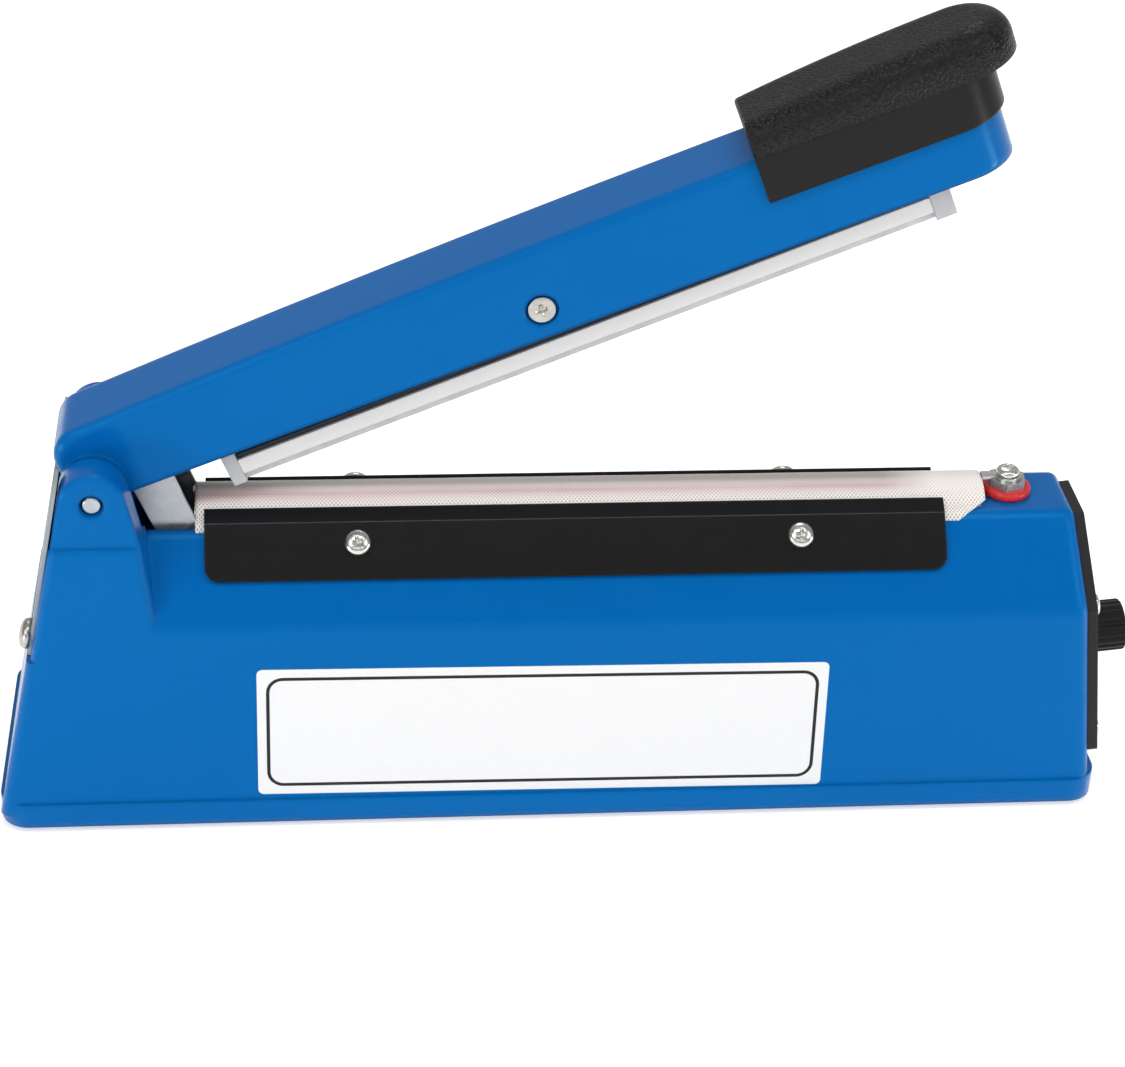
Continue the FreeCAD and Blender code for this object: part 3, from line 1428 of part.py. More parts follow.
bracket_screw_length = 4.2
bracket_screws = []
for spot in bracket_spots:
    x, z = arm_spot(spot, bracket_top - bracket_sheet)
    bracket_screws.append(screw("bracket_screw", screw_radius, bracket_screw_length, screw_head,
                                screw_head_height, x, 0, z, -AXIS_Y, 180 + open_angle))
group("bracket_screws", bracket_screws)
land_holes = new_sketch(arm, "XY", bracket_top - 1)
for spot in bracket_spots:
    add_ring(land_holes, spot, 0, hole_radius)
pocket(arm, land_holes, bracket_screw_length - 0.2, symmetric=False, reverse=True)
spring_x, spring_z = arm_spot(-spring_arm, spring_rise)
spring_pin = rod("spring_pin", anchor_radius, arm_width - 2.0, spring_x, arm_half - 1, spring_z, AXIS_X, 90)
spring_pin.Label = "spring_pin"

# Pivot screw of the pressure bar and its nut
pivot_x, pivot_z = arm_spot(bar_pivot_along, bar_pivot_up)
pivot_face = arm_half - pivot_sink
pivot_nut_height = 2.8
pivot_length = pivot_face + arm_half + pivot_nut_height + 0.4
pivot_screw = screw("bar_pivot_screw", screw_radius, pivot_length, pivot_head, pivot_sink - 0.2, pivot_x,
                    -pivot_face, pivot_z, AXIS_X, 90)
pivot_flats = 7.6
pivot_nut = hex_nut("bar_pivot_nut", pivot_flats, pivot_nut_height, screw_radius + pin_fit)
place(pivot_nut, pivot_x, arm_half, pivot_z, -AXIS_X, 90)

# Pressure bar, the carrier it hangs from, its end caps and its silicone strip
bar_half = bar_width / 2
bar_low = silicone_height - bar_drop
bar_top = bar_low + bar_height
lug_half = inner_half - seat_gap


def on_bar(thing):
    """Put a sub-part of the pressure bar at its pivot, turned as it hangs."""
    return place(thing, pivot_x, 0, pivot_z, -AXIS_Y, open_angle + bar_tilt)


bar = new_body("pressure_bar")
sketch = new_sketch(bar, "XZ")
add_box(sketch, left_cap - bar_left, bar_low, bar_right - right_cap, bar_top)
pad(bar, sketch, bar_width, symmetric=True)
on_bar(bar)
carrier = new_body("bar_carrier")
eye_radius = 6
sketch = new_sketch(carrier, "XZ")
add_box(sketch, left_cap - bar_left, bar_top, bar_right - right_cap, bar_top + carrier_sheet)
pad(carrier, sketch, carrier_width, symmetric=True)
sketch = new_sketch(carrier, "XZ")
add_box(sketch, -eye_radius, bar_top, eye_radius, 0)
pad(carrier, sketch, carrier_width, symmetric=True)
sketch = new_sketch(carrier, "XZ")
add_ring(sketch, 0, 0, eye_radius)
pad(carrier, sketch, 2 * lug_half, symmetric=True)
sketch = new_sketch(carrier, "XZ")
add_ring(sketch, 0, 0, screw_radius + turn_gap)
pocket(carrier, sketch, base_width)
on_bar(carrier)
caps = []
for left, length in ((-bar_left, left_cap), (bar_right - right_cap, right_cap)):
    cap = new_body("end_cap")
    sketch = new_sketch(cap, "XZ")
    add_box(sketch, left, -bar_drop, left + length, bar_top + cap_rise)
    pad(cap, sketch, bar_width + 0.4, symmetric=True)
    on_bar(cap)
    caps.append(cap)
group("bar_end_caps", caps)
silicone = new_body("silicone_strip")
sketch = new_sketch(silicone, "XZ")
add_box(sketch, left_cap - bar_left, -bar_drop, bar_right - right_cap, bar_low)
pad(silicone, sketch, bar_width * 0.8, symmetric=True)
silicone_round = 0.8


def is_silicone_foot(edge):
    """True for the two long lower edges of the silicone strip."""
    return along(edge, AXIS_X) and middle(edge).z < bar_low.value - 1


round_edges(silicone, is_silicone_foot, silicone_round)
on_bar(silicone)

# Handle: a saddle round the end of the arm and a grip on top of it


def nose_outline(sketch, start, half, tip):
    """Plan of a bar from start to a half-round nose."""
    centre = tip - half
    bow = 1.0001 * half
    return add_loop(sketch, [(start, -half), (centre, -half, bow), (tip, 0, bow), (centre, half),
                             (start, half)])


saddle = new_body("handle_saddle")
plan = new_sketch(saddle, "XY", saddle_low)
saddle_half = saddle_width / 2
nose_outline(plan, handle_start, saddle_half, arm_tip + (saddle_half - arm_half))
pad(saddle, plan, handle_parting - saddle_low)
plan = new_sketch(saddle, "XY", saddle_low - 1)
nose_outline(plan, handle_start - 5, arm_half + 0.15, arm_tip + 0.15)
pocket(saddle, plan, saddle_ceiling - saddle_low + 1, symmetric=False, reverse=True)
plan = new_sketch(saddle, "XY", saddle_ceiling)
for spot in handle_screw_spots:
    add_ring(plan, spot, 0, hole_radius)
pocket(saddle, plan, 10)
on_arm(saddle)

grip = new_body("handle_grip")
plan = new_sketch(grip, "XY", handle_parting)
grip_half = grip_width / 2
nose_outline(plan, handle_start, grip_half, grip_tip)
pad(grip, plan, 30)
crown = new_sketch(grip, "XZ")
add_loop(crown, [(handle_start - 1, handle_parting + grip_rear_height),
                 (handle_start - 1, handle_parting + 60), (grip_tip + 1, handle_parting + 60),
                 (grip_tip + 1, handle_parting + grip_tip_height, grip_crown_radius)])
pocket(grip, crown, grip_width * 2)


def is_grip_top(edge):
    """True for the edges round the grip's top, but not its rear one."""
    spot = middle(edge)
    off_rear = spot.x > handle_start.value + 1
    lower_top = min(grip_rear_height.value, grip_tip_height.value)
    return off_rear and spot.z > handle_parting.value + lower_top - 1


def is_grip_rear(edge):
    """True for the edges of the grip's rear face above the parting."""
    spot = middle(edge)
    return abs(spot.x - handle_start.value) < 0.01 and spot.z > handle_parting.value + 0.1


round_edges(grip, is_grip_top, grip_round)
round_edges(grip, is_grip_rear, grip_rear_round)
plan = new_sketch(grip, "XY", handle_parting)
for spot in handle_screw_spots:
    add_ring(plan, spot, 0, screw_radius + turn_gap)
pocket(grip, plan, 14)
on_arm(grip)

handle_screw_seat = as_size(17.6)
handle_screw_length = 10.2
handle_screws = []
for spot in handle_screw_spots:
    x, z = arm_spot(spot, handle_screw_seat)
    handle_screws.append(screw("handle_screw", screw_radius, handle_screw_length, screw_head,
                               screw_head_height, x, 0, z, -AXIS_Y, 180 + open_angle))
group("handle_screws", handle_screws)

doc.recompute()

# Nodes of the part, each written under its own label
NODES = [
    "base_housing", "bottom_plate", "rubber_feet", "bottom_screws", "rear_cover", "rear_cover_screw",
    "control_panel", "panel_screws", "potentiometer", "pot_nut", "pot_shaft", "control_knob",
    "pilot_lamp", "cord_grommet", "seal_bed", "bed_screws", "bed_strip", "heating_wire", "cloth_cover",
    "clamp_plate_front", "clamp_plate_rear", "clamp_screws", "insulating_washer", "terminal_nut",
    "wire_lugs", "terminal_screws", "hinge_pin", "spring_anchor", "return_spring", "transformer_core",
    "transformer_coil", "transformer_strap", "transformer_screws", "board_posts", "timer_board",
    "board_parts", "switch_body", "switch_button", "switch_screws", "arm_shell", "arm_bracket",
    "bracket_screws", "spring_pin", "bar_pivot_screw", "bar_pivot_nut", "pressure_bar", "bar_carrier",
    "bar_end_caps", "silicone_strip", "handle_saddle", "handle_grip", "handle_screws",
]
faults = []
for item in doc.Objects:
    if "Invalid" in item.State or "Error" in item.State:
        faults.append("%s %s" % (item.Label, item.State))
os.makedirs("parts", exist_ok=True)
for label in NODES:
    node = doc.getObjectsByLabel(label)[0]
    if node.Shape.isNull() or not node.Shape.isValid():
        faults.append("%s shape" % label)
        continue
    node.Shape.exportStep("parts/%s.step" % label)
    print(label, len(node.Shape.Solids), round(node.Shape.Volume, 1))
if faults:
    raise RuntimeError("faults: " + "; ".join(faults))
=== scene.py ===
"""Dress the hand impulse sealer: its finishes, its cloth, its screws, its label place and the studio."""

import logging
import math
from abc import ABC, abstractmethod
from dataclasses import dataclass, field
from enum import Enum
from typing import Callable

import bmesh
import bpy
from mathutils import Matrix, Vector


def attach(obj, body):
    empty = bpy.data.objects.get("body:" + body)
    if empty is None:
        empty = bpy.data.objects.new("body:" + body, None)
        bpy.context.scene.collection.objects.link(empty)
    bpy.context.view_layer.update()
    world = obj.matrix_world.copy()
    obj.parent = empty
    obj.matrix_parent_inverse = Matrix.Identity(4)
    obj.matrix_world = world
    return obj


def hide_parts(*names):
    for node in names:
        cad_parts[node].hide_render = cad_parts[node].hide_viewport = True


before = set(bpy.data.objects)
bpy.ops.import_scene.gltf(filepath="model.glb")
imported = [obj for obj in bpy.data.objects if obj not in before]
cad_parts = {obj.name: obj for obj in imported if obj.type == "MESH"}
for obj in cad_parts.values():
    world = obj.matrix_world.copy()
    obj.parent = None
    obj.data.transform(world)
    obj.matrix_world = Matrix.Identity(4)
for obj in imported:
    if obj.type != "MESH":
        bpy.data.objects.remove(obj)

LOG = logging.getLogger("sealer")
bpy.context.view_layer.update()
MM = 0.001
Colour = tuple[float, float, float]
Span = tuple[float, float]
Outline = list[tuple[float, float]]
Points = list[Vector]
Facing = Callable[[Points], Vector]
Socket = bpy.types.NodeSocket
Mesh = bmesh.types.BMesh
Vertex = bmesh.types.BMVert


def paint(red: int, green: int, blue: int) -> Colour:
    """Turn display colour counts from 0 to 255 into the linear values that a shader takes.

    Args:
        red: Red count.
        green: Green count.
        blue: Blue count.

    Returns:
        The three linear values.
    """

    def linear(count: int) -> float:
        """Linear value of one count."""
        share = count / 255
        return share / 12.92 if share <= 0.04045 else ((share + 0.055) / 1.055) ** 2.4

    return linear(red), linear(green), linear(blue)


def shaded(colour: Colour, factor: float) -> tuple[float, float, float, float]:
    """Scale a linear colour by a factor and give it the full alpha that sockets take."""
    return colour[0] * factor, colour[1] * factor, colour[2] * factor, 1.0


def wave_scale(period: float) -> float:
    """Scale of a wave texture whose bands repeat at a period in metres."""
    return math.pi / 10 / period


def show(made: bpy.types.Object) -> None:
    """Put an object in the scene."""
    bpy.context.scene.collection.objects.link(made)


class Body(Enum):
    """Moving bodies of the sealer."""

    BASE = "base"
    ARM = "arm"
    BAR = "bar"
    KNOB = "knob"
    BUTTON = "button"


class Slot(Enum):
    """Material slots of the record."""

    WHITE_PLASTIC = "white_plastic"
    BLACK_PLASTIC = "black_plastic"
    BRIGHT_STEEL = "bright_steel"
    COATED_CLOTH = "coated_cloth"


class Operation(Enum):
    """Operations of the math nodes."""

    NONE = ""
    PRODUCT = "MULTIPLY"
    LARGER = "MAXIMUM"
    SCALE = "SCALE"


class Course(Enum):
    """Courses of a ramp between its ends."""

    STRAIGHT = "LINEAR"
    EASED = "SMOOTHSTEP"


class Nodes:
    """A node tree under construction, with short calls for its nodes."""

    def __init__(self, tree: bpy.types.NodeTree) -> None:
        """Take up a tree."""
        self.tree = tree

    def fill(self, socket: Socket, value: object) -> None:
        """Link an output to a socket, or set the socket's value.

        Args:
            socket: Socket that receives it.
            value: Output socket, number, vector or colour.
        """
        if isinstance(value, bpy.types.NodeSocket):
            self.tree.links.new(value, socket)
        else:
            socket.default_value = value

    def node(self, kind: str, operation: Operation = Operation.NONE, **inputs: object) -> bpy.types.Node:
        """Add a node and fill or link its inputs.

        Args:
            kind: Node type without its ShaderNode prefix.
            operation: Operation of a math node.
            inputs: Values or outputs by input name, with spaces written as underscores.

        Returns:
            The new node.
        """
        made = self.tree.nodes.new("ShaderNode" + kind)
        if operation is not Operation.NONE:
            made.operation = operation.value
        for name, value in inputs.items():
            self.fill(made.inputs[name.replace("_", " ")], value)
        return made

    def math(self, operation: Operation, first: Socket, second: Socket) -> Socket:
        """Join two values.

        Args:
            operation: Operation of the math node.
            first: First value.
            second: Second value.

        Returns:
            The joined value.
        """
        made = self.node("Math", operation, Value=first)
        self.fill(made.inputs[1], second)
        return made.outputs["Value"]

    def times(self, first: Socket, second: Socket) -> Socket:
        """Product of two values."""
        return self.math(Operation.PRODUCT, first, second)

    def mixed(self, share: Socket, first: object, second: object) -> Socket:
        """Mix two numbers or outputs by the share of the second."""
        return self.node("Mix", Factor=share, A=first, B=second).outputs["Result"]

    def ramp(self, value: Socket, span: Span, result: Span, course: Course = Course.STRAIGHT) -> Socket:
        """Map a value from one range to another.

        Args:
            value: Value to map.
            span: The two ends of its range.
            result: Results at the two ends.
            course: Course between the ends.

        Returns:
            The mapped value.
        """
        made = self.node("MapRange", Value=value, From_Min=span[0], From_Max=span[1],
                         To_Min=result[0], To_Max=result[1])
        made.interpolation_type = course.value
        return made.outputs["Result"]


class Shader(Nodes):
    """A material under construction."""

    def __init__(self, name: str) -> None:
        """Start a material with a principled shader.

        Args:
            name: Name of the material.
        """
        self.material = bpy.data.materials.new(name)
        self.material.use_nodes = True
        super().__init__(self.material.node_tree)
        self.surface = self.tree.nodes["Principled BSDF"]
        self.place = self.node("TexCoord").outputs["Object"]

    def set(self, **inputs: object) -> None:
        """Fill or link sockets of the principled shader, with spaces written as underscores."""
        for name, value in inputs.items():
            self.fill(self.surface.inputs[name.replace("_", " ")], value)

    def noise(self, size: float, detail: float = 3.0, stretch: Colour = (1, 1, 1)) -> Socket:
        """Noise of a given grain.

        Args:
            size: Grain in metres.
            detail: Finer layers of the noise.
            stretch: Factors on the three axes.

        Returns:
            The noise value.
        """
        where = self.place
        if stretch != (1, 1, 1):
            where = self.node("Mapping", Vector=self.place, Scale=stretch).outputs["Vector"]
        return self.node("TexNoise", Vector=where, Scale=1 / size, Detail=detail).outputs["Fac"]

    def between(self, value: Socket, low: float, high: float) -> Socket:
        """Spread a noise value, which lies about one half, from a low to a high result."""
        return self.ramp(value, (0.3, 0.7), (low, high))

    def tones(self, value: Socket, colour: Colour, low: float, high: float) -> Socket:
        """Spread a noise value over two tones of a colour.

        Args:
            value: Value about one half.
            colour: Linear colour.
            low: Brightness factor at low values.
            high: Brightness factor at high values.

        Returns:
            The toned colour.
        """
        ramp = self.node("ValToRGB", Fac=value)
        for element, place, factor in zip(ramp.color_ramp.elements, (0.3, 0.7), (low, high)):
            element.position = place
            element.color = shaded(colour, factor)
        return ramp.outputs["Color"]

    def soft_edges(self, radius: float) -> Socket:
        """Normal that rounds the edges in the shading.

        Args:
            radius: Radius of the rounding in metres.

        Returns:
            The rounded normal.
        """
        made = self.node("Bevel", Radius=radius)
        made.samples = 6
        return made.outputs["Normal"]

    def bump(self, height: Socket, depth: float, strength: float, under: Socket | None = None) -> Socket:
        """Turn a height into a normal.

        Args:
            height: Height value from 0 to 1.
            depth: Depth of the relief in metres.
            strength: Share of the relief that shows.
            under: Normal of a coarser relief below.

        Returns:
            The bumped normal.
        """
        made = self.node("Bump", Height=height, Distance=depth, Strength=strength)
        if under is not None:
            self.fill(made.inputs["Normal"], under)
        return made.outputs["Normal"]


@dataclass(frozen=True)
class Finish(ABC):
    """Surface of one material, which each kind lays in its own way."""

    name: str
    colour: Colour

    @abstractmethod
    def lay(self, skin: Shader) -> None:
        """Lay the finish on a new material."""

    def make(self) -> bpy.types.Material:
        """Build the material.

        Returns:
            The new material.
        """
        skin = Shader(self.name)
        self.lay(skin)
        return skin.material


@dataclass(frozen=True)
class MouldedPlastic(Finish):
    """Moulded plastic with a faint flow mottling, a fine skin and softened edges."""

    roughness: float = 0.35
    specular: float = 0.5
    spread: float = 0.06
    grain: float = 0.5 * MM
    relief: float = 0.004 * MM
    edge: float = 0.6 * MM
    sheen: Colour = (1.0, 1.0, 1.0)
    flow: float = 60 * MM
    scuff: float = 9 * MM

    def lay(self, skin: Shader) -> None:
        """Lay the finish on a new material.

        Args:
            skin: Material under construction.
        """
        flow = skin.noise(self.flow, 2.0, (0.6, 1, 1))
        scuff = skin.noise(self.scuff)
        edge = skin.soft_edges(self.edge)
        skin.set(Specular_IOR_Level=self.specular, Specular_Tint=shaded(self.sheen, 1.0),
                 Base_Color=skin.tones(flow, self.colour, 1 - self.spread, 1 + self.spread),
                 Roughness=skin.between(scuff, self.roughness - 0.03, self.roughness + 0.04),
                 Normal=skin.bump(skin.noise(self.grain, 2.0), self.relief, 0.6, edge))


@dataclass(frozen=True)
class PebbledPlastic(Finish):
    """Soft black grip with a leather-like pebble, with painted shade in the hollows between pebbles and
    painted light on the pebble tops.
    """

    pebble: float = 0.8 * MM
    relief: float = 0.4 * MM
    edge: float = 2.5 * MM
    pore: float = 0.3 * MM
    pore_depth: float = 0.02 * MM

    def lay(self, skin: Shader) -> None:
        """Lay the finish on a new material.

        Args:
            skin: Material under construction.
        """
        warp = skin.node("TexNoise", Vector=skin.place, Scale=1 / (2 * self.pebble), Detail=2.0)
        shift = skin.node("VectorMath", Operation.SCALE, Vector=warp.outputs["Color"], Scale=self.pebble)
        moved = skin.node("VectorMath", Vector=skin.place)
        skin.fill(moved.inputs[1], shift.outputs["Vector"])
        cells = skin.node("TexVoronoi", Vector=moved.outputs["Vector"], Scale=1 / self.pebble)
        cells.feature = "SMOOTH_F1"
        cells.inputs["Smoothness"].default_value = 0.35
        # Painted shade and light: the colour is darker in the hollows between the pebbles and lighter on
        # their tops.
        gap_shade = skin.ramp(cells.outputs["Distance"], (0.1, 0.6), (0.0, 1.0))
        pebbles = skin.ramp(cells.outputs["Distance"], (0.1, 0.6), (1.0, 0.0))
        coarse = skin.bump(pebbles, self.relief, 0.7, skin.soft_edges(self.edge))
        skin.set(Specular_IOR_Level=0.25, Base_Color=skin.tones(gap_shade, self.colour, 1.15, 0.7),
                 Roughness=skin.between(skin.noise(5 * MM, 4.0), 0.28, 0.38),
                 Normal=skin.bump(skin.noise(self.pore, 2.0), self.pore_depth, 0.5, coarse))


@dataclass(frozen=True)
class PlatedSteel(Finish):
    """Plated or bare metal with fine drawing lines and a cloudy gloss."""

    roughness: float = 0.25
    lines: Colour = (0.15, 3.0, 3.0)
    cloud: float = 3 * MM
    spread: float = 0.1
    drawing: float = 0.5 * MM
    relief: float = 0.006 * MM

    def lay(self, skin: Shader) -> None:
        """Lay the finish on a new material.

        Args:
            skin: Material under construction.
        """
        cloud = skin.noise(self.cloud, 4.0)
        drawn = skin.noise(self.drawing, 3.0, self.lines)
        skin.set(Metallic=1.0, Base_Color=skin.tones(cloud, self.colour, 1 - self.spread, 1 + self.spread),
                 Roughness=skin.between(drawn, self.roughness - 0.07, self.roughness + 0.1),
                 Normal=skin.bump(drawn, self.relief, 0.5))


@dataclass(frozen=True)
class SpangledSheet(Finish):
    """Galvanised sheet with dull crystal patches."""

    spangle: float = 2.6 * MM
    grain: float = 0.4 * MM
    relief: float = 0.006 * MM

    def lay(self, skin: Shader) -> None:
        """Lay the finish on a new material.

        Args:
            skin: Material under construction.
        """
        patches = skin.node("TexVoronoi", Vector=skin.place, Scale=1 / self.spangle)
        tone = skin.node("SeparateColor", Color=patches.outputs["Color"]).outputs["Red"]
        skin.set(Metallic=0.85, Base_Color=skin.tones(tone, self.colour, 0.88, 1.08),
                 Roughness=skin.between(tone, 0.34, 0.5),
                 Normal=skin.bump(skin.noise(self.grain), self.relief, 0.6))


@dataclass(frozen=True)
class CoatedSheet(Finish):
    """Sheet metal under baked paint with a fine orange peel."""

    roughness: float = 0.3
    specular: float = 0.3
    peel: float = 2.4 * MM
    relief: float = 0.02 * MM
    edge: float = 0.5 * MM

    def lay(self, skin: Shader) -> None:
        """Lay the finish on a new material.

        Args:
            skin: Material under construction.
        """
        haze = skin.noise(4 * MM, 4.0)
        edge = skin.soft_edges(self.edge)
        skin.set(Specular_IOR_Level=self.specular,
                 Base_Color=skin.tones(skin.noise(9 * MM, 4.0), self.colour, 0.98, 1.02),
                 Roughness=skin.between(haze, self.roughness - 0.01, self.roughness + 0.02),
                 Normal=skin.bump(skin.noise(self.peel, 1.0), self.relief, 0.6, edge))


@dataclass(frozen=True)
class WovenCloth(Finish):
    """Coated glass cloth: two crossing sets of threads, with a stain along the heated line, painted shade on
    its back half and a weave painted fainter on its top and back.
    """

    # Painted shade: darker colour of the back half of the cloth.
    far_shade_colour: Colour
    stain: Colour
    stain_middle: float = -3.6 * MM
    stain_half: float = 3.0 * MM
    stain_end: float = 106 * MM
    stain_fade: float = 14 * MM
    thread: float = 0.75 * MM
    relief: float = 0.06 * MM
    # Painted light: across the cloth, the weave is painted at half strength from the first of these places
    # towards the back and at full strength from the second towards the near edge.
    weave_shade_from: float = -5 * MM
    weave_shade_to: float = -9 * MM

    def lay(self, skin: Shader) -> None:
        """Lay the finish on a new material.

        Args:
            skin: Material under construction.
        """
        spot = skin.node("SeparateXYZ", Vector=skin.place).outputs
        middle = self.stain_middle
        heated = skin.ramp(spot["X"], (self.stain_end, self.stain_end - self.stain_fade), (0.0, 1.0))
        # Painted shade: the back half of the cloth, along the heated length, takes a darker colour.
        far_shade = skin.times(heated, skin.ramp(spot["Y"], (middle, 0.0), (0.0, 1.0)))
        near_edge = skin.ramp(spot["Y"], (middle - self.stain_half, middle), (0.0, 1.0))
        far_edge = skin.ramp(spot["Y"], (middle, middle + self.stain_half), (1.0, 0.0))
        uneven = skin.between(skin.noise(24 * MM, 3.0, (0.4, 1.6, 1)), 0.6, 1.0)
        stain = skin.times(skin.times(skin.times(near_edge, far_edge), heated), uneven)
        ground = self.over(skin, far_shade, shaded(self.colour, 1.0), self.far_shade_colour)
        ground = self.over(skin, stain, ground, self.stain)
        # Painted light: the weave's darkening is halved over the top and back of the cloth, where light
        # washes it out; the bump follows the same share.
        weave_shade_share = skin.ramp(spot["Y"], (self.weave_shade_from, self.weave_shade_to), (0.5, 1.0))
        weave = skin.times(skin.times(self.threads(skin, 45), self.threads(skin, -45)), weave_shade_share)
        tone = skin.ramp(weave, (0.05, 0.7), (1.08, 0.45))
        toned = skin.node("VectorMath", Operation.SCALE, Vector=ground, Scale=tone)
        skin.set(Specular_IOR_Level=0.3, Base_Color=toned.outputs["Vector"],
                 Roughness=skin.between(skin.noise(3 * MM), 0.32, 0.44),
                 Normal=skin.bump(weave, self.relief, 0.6))

    def threads(self, skin: Shader, turn: float) -> Socket:
        """One set of parallel threads.

        Args:
            skin: Material under construction.
            turn: Direction of the threads in degrees.

        Returns:
            A value that is high between the threads.
        """
        turned = skin.node("Mapping", Vector=skin.place, Rotation=(0, 0, math.radians(turn)))
        bands = skin.node("TexWave", Vector=turned.outputs["Vector"], Scale=wave_scale(self.thread))
        return bands.outputs["Fac"]

    @staticmethod
    def over(skin: Shader, share: Socket, ground: object, colour: Colour) -> Socket:
        """Lay a colour over a ground by a share."""
        return skin.node("MixRGB", Fac=share, Color1=ground, Color2=shaded(colour, 1.0)).outputs["Color"]


@dataclass(frozen=True)
class Rubber(Finish):
    """Dull rubber or silicone with a dusty skin."""

    roughness: float = 0.6
    grain: float = 0.35 * MM
    relief: float = 0.015 * MM

    def lay(self, skin: Shader) -> None:
        """Lay the finish on a new material.

        Args:
            skin: Material under construction.
        """
        dust = skin.noise(5 * MM, 5.0)
        skin.set(Specular_IOR_Level=0.35, Base_Color=skin.tones(dust, self.colour, 0.9, 1.1),
                 Roughness=skin.between(dust, self.roughness - 0.07, self.roughness + 0.08),
                 Normal=skin.bump(skin.noise(self.grain, 2.0), self.relief, 0.7))


@dataclass(frozen=True)
class PrintedPaper(Finish):
    """Paper or print of a sticker, with a faint fibre."""

    roughness: float = 0.4
    fibre: float = 0.7 * MM
    relief: float = 0.004 * MM

    def lay(self, skin: Shader) -> None:
        """Lay the finish on a new material.

        Args:
            skin: Material under construction.
        """
        fibre = skin.noise(self.fibre, 4.0, (0.3, 1, 1))
        skin.set(Specular_IOR_Level=0.3, Base_Color=skin.tones(fibre, self.colour, 0.98, 1.0),
                 Roughness=skin.between(fibre, self.roughness - 0.03, self.roughness + 0.05),
                 Normal=skin.bump(fibre, self.relief, 0.5))


@dataclass(frozen=True)
class StackedSheets(Finish):
    """Transformer core or winding: thin layers seen on edge."""

    layer: float
    across: Colour
    metallic: float = 0.6
    relief: float = 0.05 * MM

    def lay(self, skin: Shader) -> None:
        """Lay the finish on a new material.

        Args:
            skin: Material under construction.
        """
        turned = skin.node("Mapping", Vector=skin.place, Scale=self.across).outputs["Vector"]
        bands = skin.node("TexWave", Vector=turned, Scale=wave_scale(self.layer), Distortion=0.4)
        lines = bands.outputs["Fac"]
        skin.set(Metallic=self.metallic, Base_Color=skin.tones(lines, self.colour, 0.7, 1.1),
                 Roughness=skin.between(skin.noise(4 * MM), 0.4, 0.6),
                 Normal=skin.bump(lines, self.relief, 0.6))


@dataclass(frozen=True)
class ClearLens(Finish):
    """Tinted lamp lens."""

    rib: float = 1.2 * MM
    relief: float = 0.05 * MM

    def lay(self, skin: Shader) -> None:
        """Lay the finish on a new material.

        Args:
            skin: Material under construction.
        """
        ribs = skin.noise(self.rib, 2.0)
        skin.set(Transmission_Weight=0.35, IOR=1.49, Base_Color=skin.tones(ribs, self.colour, 0.85, 1.1),
                 Roughness=skin.between(ribs, 0.1, 0.18), Normal=skin.bump(ribs, self.relief, 0.5))


BLUE = MouldedPlastic("blue_moulded", paint(2, 98, 175), 0.2, 0.35, 0.02, edge=2.6 * MM,
                      sheen=(0.12, 0.8, 1.0))
SATIN_BLACK = MouldedPlastic("satin_black", paint(22, 21, 21), 0.3, 0.2, 0.05, 0.4 * MM)
PANEL_BLACK = MouldedPlastic("panel_black", paint(34, 34, 35), 0.5, 0.25, 0.1, 0.6 * MM, 0.02 * MM)
GRIP_BLACK = PebbledPlastic("pebbled_black", paint(25, 24, 23))
PLATE_BLACK = CoatedSheet("black_coat", paint(20, 20, 21), 0.2, 0.3)
# The bar carrier's dark grey is both a steel channel's colour and painted shade for the gap between the arm
# and the bar.
CARRIER_GREY_SHADE = CoatedSheet("carrier_coat_shade", paint(52, 58, 64), 0.4, 0.2)
GREY_COAT = CoatedSheet("grey_coat", paint(160, 168, 173), 0.45, 0.15)
BRIGHT_STEEL = PlatedSteel("zinc_plate", paint(215, 214, 210), 0.22)
NUT_STEEL = PlatedSteel("nut_steel", paint(186, 184, 178), 0.3)
PIN_STEEL = PlatedSteel("pin_steel", paint(172, 178, 182), 0.25)
SPRING_STEEL = PlatedSteel("spring_wire", paint(150, 150, 150), 0.3)
RIBBON_METAL = PlatedSteel("ribbon_metal", paint(168, 160, 150), 0.35)
BRACKET_ZINC = SpangledSheet("galvanised", paint(182, 185, 187))
BED_METAL = PlatedSteel("bed_extrusion", paint(205, 206, 208), 0.4)
BAR_WHITE = MouldedPlastic("bar_off_white", paint(238, 236, 234), 0.45, 0.35, 0.025, 0.7 * MM, 0.012 * MM)
CAP_GREY = MouldedPlastic("cap_grey", paint(196, 197, 199), 0.42, 0.4, 0.04)
STRIP_GREY = Rubber("silicone_grey", paint(206, 207, 208), 0.5)
BLACK_RUBBER = Rubber("black_rubber", paint(30, 30, 31), 0.62)
RED_PLASTIC = MouldedPlastic("red_moulded", paint(214, 38, 40), 0.28, 0.5, 0.08)
# The third colour of each cloth is painted shade on its back half.
CLOTH = WovenCloth("coated_cloth", paint(243, 236, 230), paint(174, 167, 163), paint(197, 165, 168))
STRIP_CLOTH = WovenCloth("under_cloth", paint(150, 110, 70), paint(146, 106, 66), paint(130, 90, 56))
LABEL_PAPER = PrintedPaper("label_paper", paint(246, 246, 246), 0.38)
LABEL_INK = PrintedPaper("label_ink", paint(28, 28, 30), 0.42)
DIAL_INK = PrintedPaper("dial_ink", paint(228, 228, 226), 0.5)
CORE_STEEL = StackedSheets("core_sheets", paint(120, 122, 126), 0.5 * MM, (0, 1, 0))
COIL_TAPE = StackedSheets("coil_tape", paint(196, 158, 60), 2.2 * MM, (0, 0, 1), 0.0)
BOARD_GREEN = CoatedSheet("board_green", paint(30, 92, 52), 0.35, 0.5)
PART_DARK = MouldedPlastic("dark_parts", paint(40, 44, 60), 0.4)
